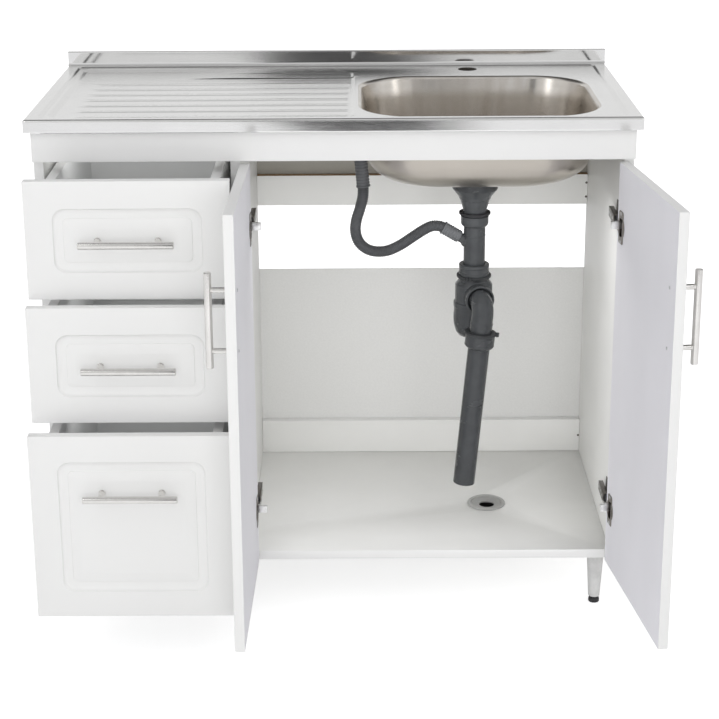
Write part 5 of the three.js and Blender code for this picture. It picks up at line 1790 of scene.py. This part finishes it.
placed(trap, "bottle_trap_body", [drain_finish, screw_zinc, seam_finish], "cabinet",
       ["trap_body"], drain_axis)

elbow_start, elbow_turn, elbow_bend, elbow_drop, elbow_radius = 38.3, 50.0, 24.0, 62.0, 19.5
outlet_turn = (drain_axis @ Matrix.Translation(Vector((0, 0, outlet_z)) * MM)
               @ Matrix.Rotation(outlet_yaw - math.pi / 2, 4, "Z")
               @ Matrix.Rotation(-outlet_tilt, 4, "X"))
elbow_path, elbow_radii = [], []
for step in range(5):
    elbow_path.append(Vector((elbow_start + (elbow_turn - elbow_start) * step / 5, 0, 0)))
for step in range(17):
    t = step / 16
    corner = Vector((elbow_turn + elbow_bend, 0, 0))
    first, last = Vector((elbow_turn, 0, 0)), Vector((elbow_turn + elbow_bend, 0, -elbow_bend))
    elbow_path.append(first.lerp(corner, t).lerp(corner.lerp(last, t), t))
for step in range(1, 13):
    elbow_path.append(Vector((elbow_turn + elbow_bend, 0,
                              -elbow_bend - (elbow_drop - elbow_bend) * step / 12)))
for place in elbow_path:
    bead = math.exp(-((place.z + 33.0) / 1.6) ** 2) * 0.6 - (0.5 if place.z > -33 else 0.0)
    elbow_radii.append((elbow_radius + bead) * MM)
elbow = tube_around([place * MM for place in elbow_path], elbow_radii, 48)
placed(elbow, "outlet_elbow_moulding", drain_finish, "cabinet", ["outlet_elbow"],
       outlet_turn, 50)

outlet_drop = outlet_turn @ Matrix.Translation(Vector((elbow_turn + elbow_bend, 0, 0)) * MM)
outlet_nut = turned([
    (19.8, -53.2), (25.4, -53.2), (25.7, -54.6), (25.7, -70.6), (25.9, -71.2), (25.9, -73.0),
    (23.8, -75.8), (21.2, -77.9), (19.2, -77.9), (19.2, -64.0), (19.8, -62.4)], 64, 0.5)
merged(outlet_nut, clamp_ring(19.8, 27.9, -53.0, -48.6, 72, 7.5), finish=2)
placed(outlet_nut, "outlet_nut_and_clamp", [drain_finish, screw_zinc, seam_finish], "cabinet",
       ["outlet_nut"], outlet_drop)

pipe_end = (202.8 - outlet_z) / math.cos(outlet_tilt)
pipe = turned([
    (17.0, -62.4), (19.0, -62.4), (19.0, pipe_end + 0.6), (18.6, pipe_end), (17.3, pipe_end),
    (17.0, pipe_end + 0.4)], 64, 0.3)
placed(pipe, "slanting_outlet_pipe", drain_finish, "cabinet", ["outlet_pipe"],
       outlet_drop)

# ---- Overflow fitting --------------------------------------------------------------------------
# A moulded elbow clamped on the outside of the bowl's left wall, behind a small slotted steel
# rosette that covers the hole on the inside.

overflow_tilt = math.radians(-5.0)
wall_place = at(bowl_left + 0.3 + overflow_drop * bowl_taper, drain_y, recess_z - overflow_drop)
fitting_turn = Matrix.Translation(wall_place) @ Matrix.Rotation(overflow_tilt, 4, "Y")
outward = Vector((-1, 0, 0))
overflow = turned([
    (0, 2.8), (0, 20.8), (10.0, 23.0), (14.4, 22.6), (15.8, 20.6), (15.9, 4.6), (17.0, 3.2),
    (21.4, 3.1), (21.9, 2.4), (21.9, 0.8), (21.4, 0.4), (12.0, 0.4), (12.0, 2.8)], 56, 0.7)
overflow.transform(along(Vector((0, 0, 0)), outward))
spigot = turned([(0, -4.0), (10.2, -4.0), (10.2, -15.0), (9.4, -16.4), (8.5, -17.4),
                 (8.5, -35.4), (8.1, -36.0), (6.8, -36.0), (6.8, -10.0), (0, -10.0)], 40, 0.6)
merged(overflow, spigot, Matrix.Translation(Vector((-13.3, 0, 0)) * MM))
placed(overflow, "overflow_elbow_moulding", drain_finish, "cabinet",
       ["overflow_elbow"], fitting_turn)

# ---- Pipe grommet ------------------------------------------------------------------------------
# A grey plastic ring let into the cupboard's floor, with a lid that turns in it, a round port near
# the front of the lid and a black rubber skin below it.

grommet_low, grommet_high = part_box("pipe_grommet")
grommet_middle = (grommet_low + grommet_high) / 2
grommet_seat = (grommet_high.z / MM) - 3.0
grommet_port, port_forward = 14.0, 9.0
grommet_finish = moulded_plastic("grommet_plastic", (0.40, 0.40, 0.39), 0.32, 0.6)
lid_finish = moulded_plastic("grommet_lid_plastic", (0.36, 0.36, 0.35), 0.4, 0.6)
collar = turned([
    (27.4, -15.6), (29.4, -15.6), (29.6, -15.0), (29.6, 0.1), (34.6, 0.05), (34.9, 0.5),
    (34.6, 1.5), (32.6, 2.8), (29.4, 2.95), (28.0, 2.6), (27.4, 1.8)], 72, 0.5)
merged(collar, turned([(0, -13.0), (27.6, -13.0), (27.6, -12.0), (0, -12.0)], 72, 0.3), finish=1)
placed(collar, "pipe_grommet_ring", [grommet_finish, gasket_finish], "cabinet",
       ["pipe_grommet"], Matrix.Translation(
           Vector((grommet_middle.x, grommet_middle.y, grommet_seat * MM))))
lid = turned([(0, -0.6), (26.6, -0.6), (27.1, -0.2), (27.1, 1.4), (26.4, 2.0), (0, 2.0)], 72, 0.4)
port_cut = peg(bmesh.new(), grommet_port, 12,
               Matrix.Translation(Vector((0, -port_forward, 0)) * MM), 48)
placed(carved(meshed(lid, "lid_blank"), meshed(port_cut, "port_bit")), "pipe_grommet_lid",
       lid_finish, "cabinet",
       turn=Matrix.Translation(Vector((grommet_middle.x, grommet_middle.y, grommet_seat * MM))))
